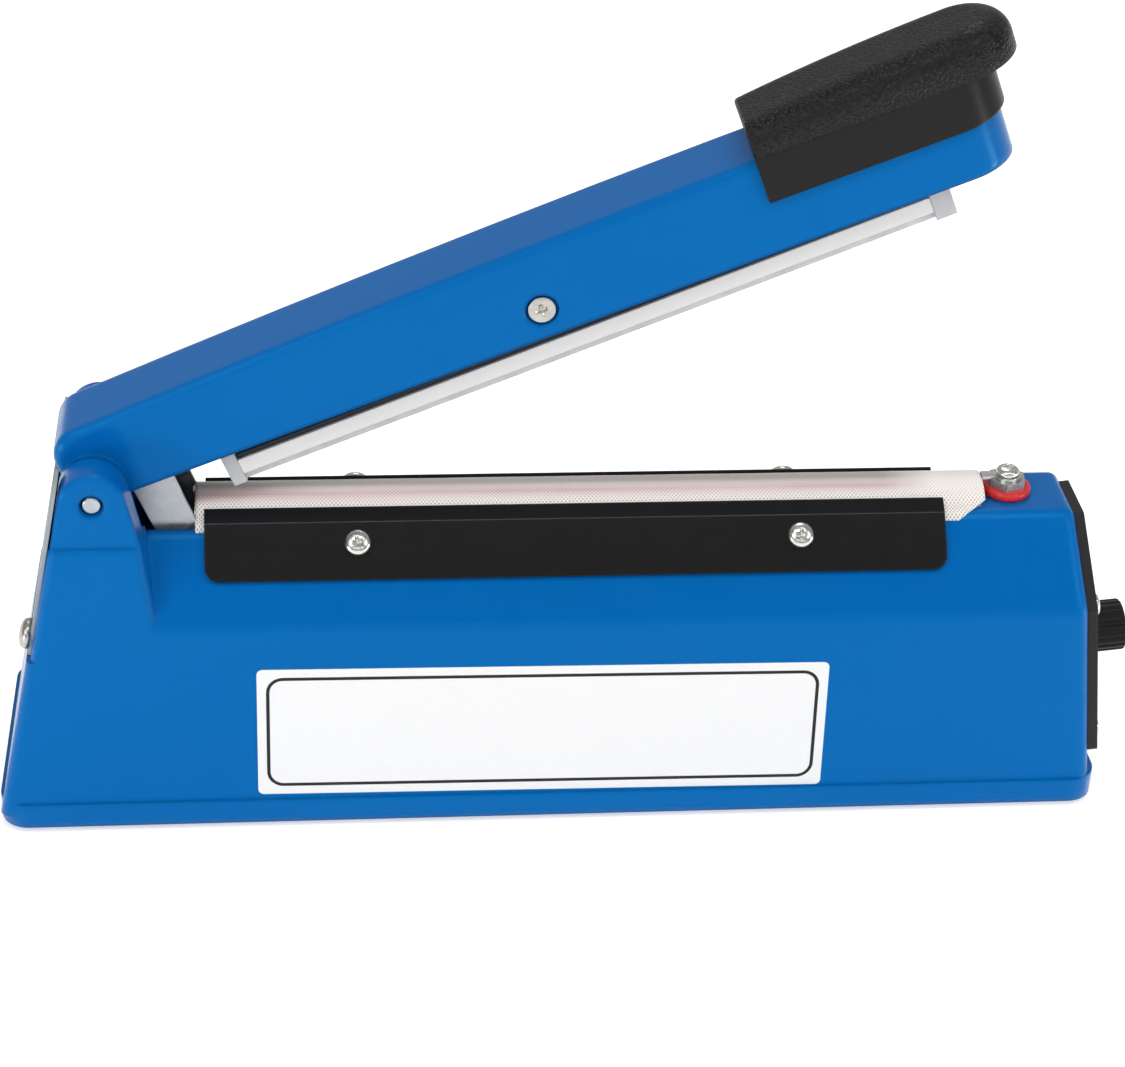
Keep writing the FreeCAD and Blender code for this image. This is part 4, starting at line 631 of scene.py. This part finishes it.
SWITCH_DARK = MouldedPlastic("switch_dark", paint(52, 40, 34), 0.45)
BUTTON_RED = MouldedPlastic("button_red", paint(150, 30, 28), 0.35)
POST_WHITE = MouldedPlastic("post_white", paint(224, 222, 214), 0.5)
LAMP_RED = ClearLens("lamp_lens", paint(190, 26, 22))


class Wardrobe:
    """Keeps each finish as one shared material."""

    def __init__(self) -> None:
        """Start with no material made."""
        self.made: dict[str, bpy.types.Material] = {}

    def material(self, finish: Finish) -> bpy.types.Material:
        """Material of a finish, made on first use.

        Args:
            finish: Finish to use.

        Returns:
            The shared material.
        """
        if finish.name not in self.made:
            self.made[finish.name] = finish.make()
        return self.made[finish.name]

    def dress(self, finish: Finish, *nodes: str) -> None:
        """Give nodes of the solid model a finish.

        Args:
            finish: Finish to use.
            nodes: Names of the nodes.
        """
        for name in nodes:
            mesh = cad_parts[name].data
            mesh.materials.clear()
            mesh.materials.append(self.material(finish))
            LOG.info("dressed %s with %s", name, finish.name)

    def piece(self, name: str, shape: Mesh, finish: Finish, body: Body,
              smooth: bool = True) -> bpy.types.Object:
        """Turn a shape into a piece that rides on a body.

        Args:
            name: Name of the piece.
            shape: Its mesh, which is used up.
            finish: Finish to use.
            body: Body that carries it.
            smooth: Whether its faces shade smoothly.

        Returns:
            The new object.
        """
        mesh = bpy.data.meshes.new(name)
        bmesh.ops.recalc_face_normals(shape, faces=shape.faces)
        shape.to_mesh(mesh)
        shape.free()
        for face in mesh.polygons:
            face.use_smooth = smooth
        mesh.materials.append(self.material(finish))
        made = bpy.data.objects.new(name, mesh)
        show(made)
        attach(made, body.value)
        LOG.info("made %s on %s", name, body.value)
        return made


WARDROBE = Wardrobe()
FLAT_SLACK = 0.02 * MM


def axes_frame(spot: Vector, out: Vector, up: Vector) -> Matrix:
    """Matrix of a local frame whose Z points out of a surface.

    Args:
        spot: Origin of the frame.
        out: Direction of its Z.
        up: Direction near its Y.

    Returns:
        The 4 by 4 matrix.
    """
    across = up.cross(out).normalized()
    level = out.cross(across).normalized()
    turn = Matrix((across, level, out.normalized())).transposed().to_4x4()
    turn.translation = spot
    return turn


def separate_solids(node: str) -> list[Points]:
    """Points of each separate solid of a node.

    Args:
        node: Name of the node.

    Returns:
        One list of points for each solid.
    """
    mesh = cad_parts[node].data
    owner: dict[tuple, tuple] = {}

    def root(key: tuple) -> tuple:
        """Find the point that stands for a point's solid.

        Args:
            key: Rounded place of a point.

        Returns:
            The rounded place that stands for the solid.
        """
        while owner[key] != key:
            owner[key] = owner[owner[key]]
            key = owner[key]
        return key

    keys = [tuple(round(c, 6) for c in vertex.co) for vertex in mesh.vertices]
    for key in keys:
        owner.setdefault(key, key)
    for edge in mesh.edges:
        owner[root(keys[edge.vertices[0]])] = root(keys[edge.vertices[1]])
    solids: dict[tuple, Points] = {}
    for key in owner:
        solids.setdefault(root(key), []).append(Vector(key))
    return [solids[key] for key in sorted(solids)]


def middle_of(points: Points) -> Vector:
    """Middle of the box round some points.

    Args:
        points: The points.

    Returns:
        The middle.
    """
    low = Vector([min(point[axis] for point in points) for axis in range(3)])
    high = Vector([max(point[axis] for point in points) for axis in range(3)])
    return (low + high) / 2


def top_centre(points: Points, out: Vector) -> Vector:
    """Middle of the outermost flat of a screw.

    Args:
        points: Points of the screw.
        out: Direction that its head faces.

    Returns:
        The middle of its top.
    """
    reach = max(point.dot(out) for point in points)
    return middle_of([point for point in points if point.dot(out) > reach - FLAT_SLACK])


@dataclass(frozen=True)
class CrossScrew:
    """Screw with a domed head and a cross recess."""

    head_radius: float
    head_height: float
    shank_radius: float = 1.9 * MM
    turn: float = 20.0
    edge_share: float = 0.35
    arm_share: float = 0.46
    slot_share: float = 0.12
    depth_share: float = 0.55
    dome_power: float = 2.4
    slot_flare: float = 1.25
    slot_side: float = 0.3
    end_slope: float = 2.2
    floor_rise: float = 0.45
    turn_step: float = 37.0
    rings: int = 26
    sectors: int = 96

    def height(self, x: float, y: float) -> float:
        """Height of the head above its seat.

        Args:
            x: Place across the head.
            y: Place across the head.

        Returns:
            The height, with the recess taken away.
        """
        share = min(1.0, math.hypot(x, y) / self.head_radius)
        bulge = math.sqrt(1 - share ** self.dome_power)
        dome = self.head_height * (self.edge_share + (1 - self.edge_share) * bulge)
        deepest = 0.0
        for along, across in ((abs(x), abs(y)), (abs(y), abs(x))):
            reach = along / (self.arm_share * self.head_radius)
            width = across / (self.slot_share * self.head_radius)
            if reach < 1 and width < self.slot_flare:
                side = min(1.0, (self.slot_flare - width) / self.slot_side)
                end = min(1.0, self.end_slope * (1 - reach))
                deepest = max(deepest, side * end * (1 - self.floor_rise * reach))
        return dome - self.depth_share * self.head_height * deepest

    def add(self, shape: Mesh, top: Vector, out: Vector, shank: float, turn: float) -> None:
        """Add one screw to a shape.

        Args:
            shape: Mesh that receives it.
            top: Middle of its top.
            out: Direction that its head faces.
            shank: Length of its shank.
            turn: Turn of the recess in degrees.
        """
        up = Vector((0, 0, 1)) if abs(out.z) < 0.9 else Vector((0, 1, 0))
        seat = axes_frame(top - out * self.head_height, out, up)
        place = seat @ Matrix.Rotation(math.radians(turn), 4, "Z")
        centre = shape.verts.new(place @ Vector((0, 0, self.height(0, 0))))
        loops = []
        for ring in range(1, self.rings + 1):
            loops.append(self.ring(shape, place, self.head_radius * ring / self.rings, None))
        loops.append(self.ring(shape, place, self.head_radius, 0.0))
        loops.append(self.ring(shape, place, self.shank_radius, 0.0))
        loops.append(self.ring(shape, place, self.shank_radius, -shank))
        for index in range(self.sectors):
            after = (index + 1) % self.sectors
            shape.faces.new((centre, loops[0][index], loops[0][after]))
            for inner, outer in zip(loops, loops[1:]):
                shape.faces.new((inner[index], outer[index], outer[after], inner[after]))
        shape.faces.new(reversed(loops[-1]))

    def ring(self, shape: Mesh, place: Matrix, radius: float, level: float | None) -> list[Vertex]:
        """Add one ring of points.

        Args:
            shape: Mesh that receives it.
            place: Frame of the screw.
            radius: Radius of the ring.
            level: Height of the ring, or None for the head's own surface.

        Returns:
            The new points.
        """
        made = []
        for index in range(self.sectors):
            angle = 2 * math.pi * index / self.sectors
            x = radius * math.cos(angle)
            y = radius * math.sin(angle)
            z = self.height(x, y) if level is None else level
            made.append(shape.verts.new(place @ Vector((x, y, z))))
        return made

    def replace(self, node: str, out_of: Facing, body: Body = Body.BASE,
                finish: Finish = BRIGHT_STEEL) -> None:
        """Make detailed screws for every solid of a node.

        Args:
            node: Node of plain screws.
            out_of: Function from a solid's points to the direction of its head.
            body: Body that carries them.
            finish: Finish of the screws.
        """
        shape = bmesh.new()
        for index, points in enumerate(separate_solids(node)):
            out = out_of(points)
            along = [point.dot(out) for point in points]
            shank = max(along) - min(along) - self.head_height
            self.add(shape, top_centre(points, out), out, shank, self.turn + self.turn_step * index)
        made = WARDROBE.piece(node + "_cross", shape, finish, body)
        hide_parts(node)


def rounded_outline(half_x: float, half_y: float, radius: float, steps: int = 8) -> Outline:
    """Outline of a rectangle with round corners, anticlockwise.

    Args:
        half_x: Half its width.
        half_y: Half its height.
        radius: Radius of its corners.
        steps: Steps in each corner.

    Returns:
        Points of the outline.
    """
    points = []
    for corner, (x_sign, y_sign) in enumerate(((1, 1), (-1, 1), (-1, -1), (1, -1))):
        for step in range(steps + 1):
            angle = math.pi / 2 * (corner + step / steps)
            points.append((x_sign * (half_x - radius) + radius * math.cos(angle),
                           y_sign * (half_y - radius) + radius * math.sin(angle)))
    return points


def flat_plate(shape: Mesh, place: Matrix, outline: Outline, low: float, high: float) -> None:
    """Add a flat closed plate over an outline.

    Args:
        shape: Mesh that receives it.
        place: Frame of the plate.
        outline: Outline in the plane.
        low: Height of its underside.
        high: Height of its face.
    """
    under = [shape.verts.new(place @ Vector((x, y, low))) for x, y in outline]
    over = [shape.verts.new(place @ Vector((x, y, high))) for x, y in outline]
    shape.faces.new(over)
    shape.faces.new(reversed(under))
    for index in range(len(outline)):
        after = (index + 1) % len(outline)
        shape.faces.new((under[index], under[after], over[after], over[index]))


def flat_ring(shape: Mesh, place: Matrix, outer: Outline, inner: Outline, low: float, high: float) -> None:
    """Add a closed flat ring between two outlines.

    Args:
        shape: Mesh that receives it.
        place: Frame of the ring.
        outer: Outer outline.
        inner: Inner outline with as many points.
        low: Height of its underside.
        high: Height of its face.
    """
    rows = []
    for outline, level in ((outer, low), (outer, high), (inner, high), (inner, low)):
        rows.append([shape.verts.new(place @ Vector((x, y, level))) for x, y in outline])
    for row, following in zip(rows, rows[1:] + rows[:1]):
        for index in range(len(row)):
            after = (index + 1) % len(row)
            shape.faces.new((row[index], row[after], following[after], following[index]))


@dataclass
class Base:
    """Moulded base, its floor, feet, rear cover and the sticker place on its front wall."""

    wall_foot: Vector = field(default_factory=lambda: Vector((0, -35.3 * MM, 9.5 * MM)))
    wall_top: Vector = field(default_factory=lambda: Vector((0, -30.4 * MM, 62.4 * MM)))
    rear_lean: float = 10.8
    label_x: float = -4.45 * MM
    label_up: float = 20.4 * MM
    label_width: float = 158.2 * MM
    label_height: float = 39.2 * MM
    label_corner: float = 1.6 * MM
    label_turn: float = -0.45
    label_gap: float = 0.01 * MM
    label_thickness: float = 0.09 * MM
    ink_thickness: float = 0.02 * MM
    border_inset: float = 2.5 * MM
    border_width: float = 0.95 * MM
    border_corner: float = 4.6 * MM
    pin_end: tuple = ((0.0, 0.25 * MM), (0.45, 0.12 * MM), (0.66, 0.0), (0.78, 0.0), (0.9, 0.5 * MM),
                      (0.93, 1.6 * MM), (1.0, 1.7 * MM))
    pin_steps: int = 64
    cover_screw: CrossScrew = CrossScrew(4.3 * MM, 3.0 * MM, turn=10)
    bottom_screw: CrossScrew = CrossScrew(3.6 * MM, 1.5 * MM)

    def build(self) -> None:
        """Dress the base and add its pieces."""
        WARDROBE.dress(BLUE, "base_housing")
        WARDROBE.dress(GREY_COAT, "bottom_plate", "rear_cover")
        WARDROBE.dress(BLACK_RUBBER, "rubber_feet", "cord_grommet")
        WARDROBE.dress(PIN_STEEL, "spring_anchor")
        self.pin()
        WARDROBE.dress(SPRING_STEEL, "return_spring")
        lean = math.radians(self.rear_lean)
        rear = Vector((-math.cos(lean), 0, math.sin(lean)))
        self.cover_screw.replace("rear_cover_screw", lambda points: rear, finish=NUT_STEEL)
        self.bottom_screw.replace("bottom_screws", lambda points: Vector((0, 0, -1)))
        self.label()

    def pin(self) -> None:
        """Add the hinge pin with its chamfered ends, each with a shallow hollow."""
        points = separate_solids("hinge_pin")[0]
        middle = middle_of(points)
        half = max(point.y for point in points) - middle.y
        radius = max(point.z for point in points) - middle.z
        outline = [(share * radius, half - back) for share, back in self.pin_end]
        profile = outline + [(across, -along) for across, along in reversed(outline)]
        shape = bmesh.new()
        place = axes_frame(middle, Vector((0, 1, 0)), Vector((0, 0, 1)))
        spun = [shape.verts.new(place @ Vector((across, 0, along))) for across, along in profile]
        edges = [shape.edges.new(pair) for pair in zip(spun, spun[1:])]
        bmesh.ops.spin(shape, geom=spun + edges, cent=middle, axis=(0, 1, 0), angle=2 * math.pi,
                       steps=self.pin_steps)
        bmesh.ops.remove_doubles(shape, verts=shape.verts, dist=0.001 * MM)
        made = WARDROBE.piece("hinge_pin_turned", shape, PIN_STEEL, Body.BASE)
        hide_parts("hinge_pin")

    def label(self) -> None:
        """Add the sticker and its printed frame line."""
        slope = (self.wall_top - self.wall_foot).normalized()
        out = Vector((1, 0, 0)).cross(slope)
        spot = self.wall_foot + slope * self.label_up + Vector((self.label_x, 0, 0))
        place = axes_frame(spot, out, slope) @ Matrix.Rotation(math.radians(self.label_turn), 4, "Z")
        sheet = bmesh.new()
        outline = rounded_outline(self.label_width / 2, self.label_height / 2, self.label_corner)
        flat_plate(sheet, place, outline, self.label_gap, self.label_thickness)
        WARDROBE.piece("label_sheet", sheet, LABEL_PAPER, Body.BASE, smooth=False)
        line = bmesh.new()
        half_x = self.label_width / 2 - self.border_inset
        half_y = self.label_height / 2 - self.border_inset
        outer = rounded_outline(half_x, half_y, self.border_corner)
        inner = rounded_outline(half_x - self.border_width, half_y - self.border_width,
                                self.border_corner - self.border_width)
        flat_ring(line, place, outer, inner, self.label_thickness, self.label_thickness + self.ink_thickness)
        WARDROBE.piece("label_border", line, LABEL_INK, Body.BASE, smooth=False)


@dataclass
class ControlEnd:
    """Control panel with its knob, dial, lamp and potentiometer."""

    lean: float = 5.92
    knob_axis: Vector = field(default_factory=lambda: Vector((149.748 * MM, 0, 37.0 * MM)))
    panel_thickness: float = 3.0 * MM
    knob_back: float = 3.4 * MM
    knob_length: float = 14.0 * MM
    pointer_half_width: float = 0.45 * MM
    pointer_half_length: float = 2.4 * MM
    pointer_middle: float = 3.4 * MM
    pointer_corner: float = 0.4 * MM
    pointer_low: float = -0.05 * MM
    pointer_high: float = 0.04 * MM
    dial_radius: float = 12.4 * MM
    tick_start: float = 9.2 * MM
    tick_end: float = 10.6 * MM
    tick_half: float = 0.25 * MM
    ink_low: float = 0.01 * MM
    ink_high: float = 0.05 * MM
    number_depth: float = 0.02 * MM
    number_height: float = 3.0 * MM
    marks: int = 8
    sweep: float = 280.0
    panel_screw: CrossScrew = CrossScrew(3.2 * MM, 1.6 * MM)

    def build(self) -> None:
        """Dress the panel and add the dial and the pointer."""
        WARDROBE.dress(PANEL_BLACK, "control_panel")
        WARDROBE.dress(SATIN_BLACK, "control_knob")
        WARDROBE.dress(LAMP_RED, "pilot_lamp")
        WARDROBE.dress(BRIGHT_STEEL, "potentiometer", "pot_nut", "pot_shaft")
        tilt = math.radians(self.lean)
        out = Vector((math.cos(tilt), 0, math.sin(tilt)))
        up = Vector((-math.sin(tilt), 0, math.cos(tilt)))
        self.panel_screw.replace("panel_screws", lambda points: out)
        face = axes_frame(self.knob_axis + out * self.panel_thickness, out, up)
        self.dial(face)
        self.pointer(axes_frame(self.knob_axis + out * (self.knob_back + self.knob_length), out, up))

    def dial(self, face: Matrix) -> None:
        """Add the ticks and numbers round the knob.

        Args:
            face: Frame on the panel's face at the knob's axis.
        """
        ticks = bmesh.new()
        start, end, half = self.tick_start, self.tick_end, self.tick_half
        outline = [(start, -half), (end, -half), (end, half), (start, half)]
        for index in range(self.marks):
            angle = math.radians(90 + self.sweep / 2 - self.sweep * index / (self.marks - 1))
            turned = face @ Matrix.Rotation(angle, 4, "Z")
            flat_plate(ticks, turned, outline, self.ink_low, self.ink_high)
            across = self.dial_radius * math.cos(angle)
            up = self.dial_radius * math.sin(angle)
            self.number(str(index + 1), face @ Vector((across, up, self.ink_low)), face)
        WARDROBE.piece("dial_ticks", ticks, DIAL_INK, Body.BASE, smooth=False)

    def number(self, text: str, spot: Vector, face: Matrix) -> None:
        """Add one printed number.

        Args:
            text: The number.
            spot: Its middle.
            face: Frame of the panel's face.
        """
        curve = bpy.data.curves.new("dial_number_" + text, "FONT")
        curve.body = text
        curve.size = self.number_height
        curve.align_x = "CENTER"
        curve.align_y = "CENTER"
        curve.extrude = self.number_depth
        written = bpy.data.objects.new("dial_number_" + text, curve)
        show(written)
        bpy.context.view_layer.update()
        mesh = bpy.data.meshes.new_from_object(written.evaluated_get(bpy.context.evaluated_depsgraph_get()))
        bpy.data.objects.remove(written)
        shape = bmesh.new()
        shape.from_mesh(mesh)
        bpy.data.meshes.remove(mesh)
        place = face.copy()
        place.translation = spot
        bmesh.ops.transform(shape, matrix=place, verts=shape.verts)
        WARDROBE.piece("dial_number_" + text, shape, DIAL_INK, Body.BASE, smooth=False)

    def pointer(self, end: Matrix) -> None:
        """Add the pale pointer line on the knob's end.

        Args:
            end: Frame on the knob's end face.
        """
        line = bmesh.new()
        outline = rounded_outline(self.pointer_half_width, self.pointer_half_length, self.pointer_corner, 4)
        shifted = [(x, y + self.pointer_middle) for x, y in outline]
        flat_plate(line, end, shifted, self.pointer_low, self.pointer_high)
        WARDROBE.piece("knob_pointer", line, DIAL_INK, Body.KNOB, smooth=False)


@dataclass
class SealBed:
    """Heated bed with its cloth, clamp plates, screws and terminal."""

    slope_drop: float = (82.2 - 60.4) * MM
    slope_reach: float = (30.4 - 11.0) * MM
    cloth_left: float = -99.3 * MM
    cloth_right: float = 119.7 * MM
    cloth_sheet: float = 0.24 * MM
    crown: float = 89.42 * MM
    edge_y: float = 8.72 * MM
    edge_z: float = 85.2 * MM
    fold_y: float = 11.1 * MM
    fold_z: float = 84.25 * MM
    hem_y: float = 12.75 * MM
    hem_z: float = 82.42 * MM
    cut_start: float = 111.7 * MM
    cut_end_y: float = 7.5 * MM
    ripple: float = 0.03 * MM
    short_wave: float = 140.0
    long_wave: float = 77.0
    steps_along: int = 219
    steps_across: int = 22
    clamp_screw: CrossScrew = CrossScrew(3.6 * MM, 2.8 * MM, turn=15)
    terminal_screw: CrossScrew = CrossScrew(3.3 * MM, 2.4 * MM, turn=40)

    def build(self) -> None:
        """Dress the bed and add its cloth and screws."""
        WARDROBE.dress(BED_METAL, "seal_bed")
        WARDROBE.dress(STRIP_CLOTH, "bed_strip")
        WARDROBE.dress(RIBBON_METAL, "heating_wire")
        WARDROBE.dress(PLATE_BLACK, "clamp_plate_front", "clamp_plate_rear")
        WARDROBE.dress(RED_PLASTIC, "insulating_washer")
        WARDROBE.dress(NUT_STEEL, "terminal_nut")
        WARDROBE.dress(BRIGHT_STEEL, "wire_lugs", "bed_screws")
        lean = math.atan(self.slope_drop / self.slope_reach)

        def slope_out(points: Points) -> Vector:
            """Direction out of the slope that a clamp screw sits on."""
            side = 1 if middle_of(points).y > 0 else -1
            return Vector((0, side * math.sin(lean), math.cos(lean)))

        def terminal_out(points: Points) -> Vector:
            """Direction of a terminal screw's head: up at the right end, down under the roof."""
            return Vector((0, 0, 1 if middle_of(points).x > 0 else -1))

        self.clamp_screw.replace("clamp_screws", slope_out)
        self.terminal_screw.replace("terminal_screws", terminal_out)
        self.cloth()

    def profile(self) -> Outline:
        """Half section of the cloth.

        Returns:
            Points from the middle of its crown to its hem.
        """
        rise = self.crown - self.edge_z
        radius = (self.edge_y ** 2 + rise ** 2) / (2 * rise)
        reach = math.asin(self.edge_y / radius)
        points = []
        for step in range(self.steps_across + 1):
            angle = reach * step / self.steps_across
            points.append((radius * math.sin(angle), self.crown - radius * (1 - math.cos(angle))))
        points.append((self.fold_y, self.fold_z))
        points.append((self.hem_y, self.hem_z))
        return points

    def cut(self, x: float) -> float:
        """Share of the half section that is left at a place along the cloth's near side."""
        past = max(0.0, (x - self.cut_start) / (self.cloth_right - self.cut_start))
        return 1.0 - past * (1.0 - self.cut_end_y / self.hem_y)

    def cloth(self) -> None:
        """Add the cloth as one thin sheet bent over the bed, with its near right corner cut off."""
        half = self.profile()
        reach = [0.0]
        for first, second in zip(half, half[1:]):
            reach.append(reach[-1] + math.dist(first, second))
        shape = bmesh.new()
        rows = []
        step_length = (self.cloth_right - self.cloth_left) / self.steps_along
        for step in range(self.steps_along + 1):
            x = self.cloth_left + step_length * step
            ripple = self.ripple * math.sin(self.short_wave * x) * math.sin(self.long_wave * x + 1)
            near = [self.along(half, reach, share * self.cut(x)) for share in reach]
            section = [(-y, z) for y, z in reversed(near[1:])] + half
            rows.append([shape.verts.new((x, y, z + ripple)) for y, z in section])
        for row, following in zip(rows, rows[1:]):
            for index in range(len(row) - 1):
                shape.faces.new((row[index], row[index + 1], following[index + 1], following[index]))
        made = WARDROBE.piece("cloth_sheet", shape, CLOTH, Body.BASE)
        thick = made.modifiers.new("thickness", "SOLIDIFY")
        thick.thickness = self.cloth_sheet
        thick.offset = 0
        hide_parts("cloth_cover")

    @staticmethod
    def along(line: Outline, reach: list[float], distance: float) -> tuple[float, float]:
        """Point at a distance along a line.

        Args:
            line: Points of the line.
            reach: Distance of each point from the line's start.
            distance: Distance wanted.

        Returns:
            The point.
        """
        index = 1
        while reach[index] < distance and index < len(line) - 1:
            index += 1
        share = (distance - reach[index - 1]) / (reach[index] - reach[index - 1])
        first, second = line[index - 1], line[index]
        return first[0] + share * (second[0] - first[0]), first[1] + share * (second[1] - first[1])


@dataclass
class Arm:
    """Arm shell with its bracket, pins and handle."""

    pivot_screw: CrossScrew = CrossScrew(3.7 * MM, 1.1 * MM, arm_share=0.5, edge_share=0.75, depth_share=0.9)

    def build(self) -> None:
        """Dress the arm and its handle."""
        WARDROBE.dress(BLUE, "arm_shell")
        WARDROBE.dress(BRACKET_ZINC, "arm_bracket")
        WARDROBE.dress(PIN_STEEL, "spring_pin")
        WARDROBE.dress(BRIGHT_STEEL, "bracket_screws", "bar_pivot_nut", "handle_screws")
        WARDROBE.dress(SATIN_BLACK, "handle_saddle")
        WARDROBE.dress(GRIP_BLACK, "handle_grip")
        self.pivot_screw.replace("bar_pivot_screw", lambda points: Vector((0, -1, 0)), Body.ARM, NUT_STEEL)


@dataclass
class PressureBar:
    """Rocking bar with its end caps and its silicone strip."""

    bar: Finish = BAR_WHITE
    caps: Finish = CAP_GREY
    strip: Finish = STRIP_GREY
    # The carrier's dark grey is partly painted shade for the gap under the arm.
    carrier: Finish = CARRIER_GREY_SHADE

    def build(self) -> None:
        """Dress the bar."""
        WARDROBE.dress(self.bar, "pressure_bar")
        WARDROBE.dress(self.caps, "bar_end_caps")
        WARDROBE.dress(self.strip, "silicone_strip")
        WARDROBE.dress(self.carrier, "bar_carrier")


@dataclass
class Inside:
    """Transformer, timer board and switch inside the base."""

    core: Finish = CORE_STEEL
    coil: Finish = COIL_TAPE
    board: Finish = BOARD_GREEN
    switch: Finish = SWITCH_DARK

    def build(self) -> None:
        """Dress the inner pieces."""
        WARDROBE.dress(self.core, "transformer_core")
        WARDROBE.dress(self.coil, "transformer_coil")
        WARDROBE.dress(GREY_COAT, "transformer_strap")
        WARDROBE.dress(BRIGHT_STEEL, "transformer_screws", "switch_screws")
        WARDROBE.dress(POST_WHITE, "board_posts")
        WARDROBE.dress(self.board, "timer_board")
        WARDROBE.dress(PART_DARK, "board_parts")
        WARDROBE.dress(self.switch, "switch_body")
        WARDROBE.dress(BUTTON_RED, "switch_button")


@dataclass
class Lamp:
    """One soft studio lamp."""

    name: str
    place: Vector
    target: Vector
    width: float
    height: float
    power: float

    def build(self) -> None:
        """Add the lamp."""
        light = bpy.data.lights.new(self.name, "AREA")
        light.shape = "RECTANGLE"
        light.size = self.width
        light.size_y = self.height
        light.energy = self.power
        made = bpy.data.objects.new(self.name, light)
        made.location = self.place
        made.rotation_mode = "QUATERNION"
        made.rotation_quaternion = (self.target - self.place).to_track_quat("-Z", "Y")
        made.visible_camera = False
        show(made)


@dataclass
class Studio:
    """Pale floor, soft light and the camera."""

    image_width: float = 1125.0
    sensor_width: float = 36.0
    focal_pixels: float = 2805.82
    pitch: float = 31.02
    yaw: float = 6.07
    roll: float = 2.17
    camera_place: Vector = field(default_factory=lambda: Vector((-69.0, -670.3, 478.0)) * MM)
    lamp_aim: Vector = field(default_factory=lambda: Vector((0, 0, 0.08)))
    floor_size: float = 8.0
    floor_colour: Colour = (0.93, 0.93, 0.93)
    world_strength: float = 0.37
    room_level: float = 0.2
    back_level: float = 0.42
    room_depth: float = 0.35
    floor_glow: float = 0.48

    def build(self) -> None:
        """Add floor, world, lamps and camera."""
        bpy.context.scene.view_settings.view_transform = "Standard"
        self.floor()
        self.world()
        for lamp in self.lamps():
            lamp.build()
        self.camera()

    def lamps(self) -> tuple[Lamp, ...]:
        """Name the lamps of the studio.

        Returns:
            Two soft keys in front, one behind, two strips and a small lamp near each end.
        """
        aim = self.lamp_aim
        return (Lamp("left_key", Vector((-1.1, -1.2, 1.25)), aim, 0.8, 0.8, 7.6),
                Lamp("right_key", Vector((1.3, -1.0, 1.15)), aim, 0.8, 0.8, 5.2),
                Lamp("front_strip", Vector((0.05, -1.6, 0.66)), aim, 1.6, 0.08, 2.2),
                Lamp("top_strip", Vector((0, -0.7, 1.6)), aim, 1.4, 0.22, 7.0),
                Lamp("back_key", Vector((0.1, 1.0, 1.6)), aim, 0.8, 0.8, 5.6),
                Lamp("left_edge", Vector((-0.45, -0.29, 0.055)), aim, 0.1, 0.08, 0.35),
                Lamp("right_edge", Vector((0.5, -0.17, 0.075)), aim, 0.09, 0.1, 0.38))

    def floor(self) -> None:
        """Add the pale floor, which keeps the shadow."""
        shape = bmesh.new()
        half = self.floor_size / 2
        corners = ((-half, -half, 0), (half, -half, 0), (half, half, 0), (-half, half, 0))
        shape.faces.new([shape.verts.new(corner) for corner in corners])
        mesh = bpy.data.meshes.new("floor")
        shape.to_mesh(mesh)
        shape.free()
        made = bpy.data.objects.new("floor", mesh)
        show(made)
        skin = Shader("floor_paper")
        rays = skin.node("LightPath").outputs
        seen = skin.math(Operation.LARGER, rays["Is Camera Ray"], self.mirrored(skin, rays))
        skin.set(Roughness=0.9, Specular_IOR_Level=0.1, Emission_Color=(1, 1, 1, 1),
                 Base_Color=skin.tones(skin.noise(4 * MM), self.floor_colour, 0.995, 1.0),
                 Emission_Strength=skin.mixed(seen, 0.0, self.floor_glow))
        mesh.materials.append(skin.material)

    def world(self) -> None:
        """Light the scene evenly, with a white backdrop and a dimmer room in front of the object."""
        made = bpy.data.worlds.new("studio")
        made.use_nodes = True
        nodes = Nodes(made.node_tree)
        backdrop = nodes.tree.nodes["Background"]
        backdrop.inputs["Color"].default_value = (1, 1, 1, 1)
        rays = nodes.node("LightPath").outputs
        view = nodes.node("TexCoord").outputs["Generated"]
        back = nodes.node("SeparateXYZ", Vector=view).outputs["Y"]
        depth = nodes.ramp(back, (-self.room_depth, self.room_depth), (self.room_level, self.back_level),
                           Course.EASED)
        level = nodes.mixed(self.mirrored(nodes, rays), self.world_strength, depth)
        nodes.fill(backdrop.inputs["Strength"], nodes.mixed(rays["Is Camera Ray"], level, 1.0))
        bpy.context.scene.world = made

    @staticmethod
    def mirrored(nodes: Nodes, rays: bpy.types.NodeOutputs) -> Socket:
        """Share of the rays that come by way of a mirror or a lens."""
        return nodes.math(Operation.LARGER, rays["Is Glossy Ray"], rays["Is Transmission Ray"])

    def camera(self) -> None:
        """Add the camera at the photograph's angle."""
        pitch, yaw, roll = (math.radians(angle) for angle in (self.pitch, self.yaw, self.roll))
        right = Vector((math.cos(yaw), -math.sin(yaw), 0))
        ahead = Vector((math.sin(yaw) * math.cos(pitch), math.cos(yaw) * math.cos(pitch), -math.sin(pitch)))
        up = right.cross(ahead)
        level_right = right * math.cos(roll) + up * math.sin(roll)
        level_up = up * math.cos(roll) - right * math.sin(roll)
        lens = bpy.data.cameras.new("camera")
        lens.sensor_width = self.sensor_width
        lens.lens = self.sensor_width * self.focal_pixels / self.image_width
        lens.clip_start = 0.01
        lens.clip_end = 50.0
        made = bpy.data.objects.new("camera", lens)
        turn = Matrix((level_right, level_up, -ahead)).transposed().to_4x4()
        turn.translation = self.camera_place
        made.matrix_world = turn
        show(made)
        bpy.context.scene.camera = made


def main() -> None:
    """Build every sub-assembly in order."""
    logging.basicConfig(level=logging.INFO, format="%(name)s: %(message)s")
    for part in (Base(), ControlEnd(), SealBed(), Arm(), PressureBar(), Inside(), Studio()):
        LOG.info("building %s", type(part).__name__)
        part.build()


if __name__ == "__main__":
    main()
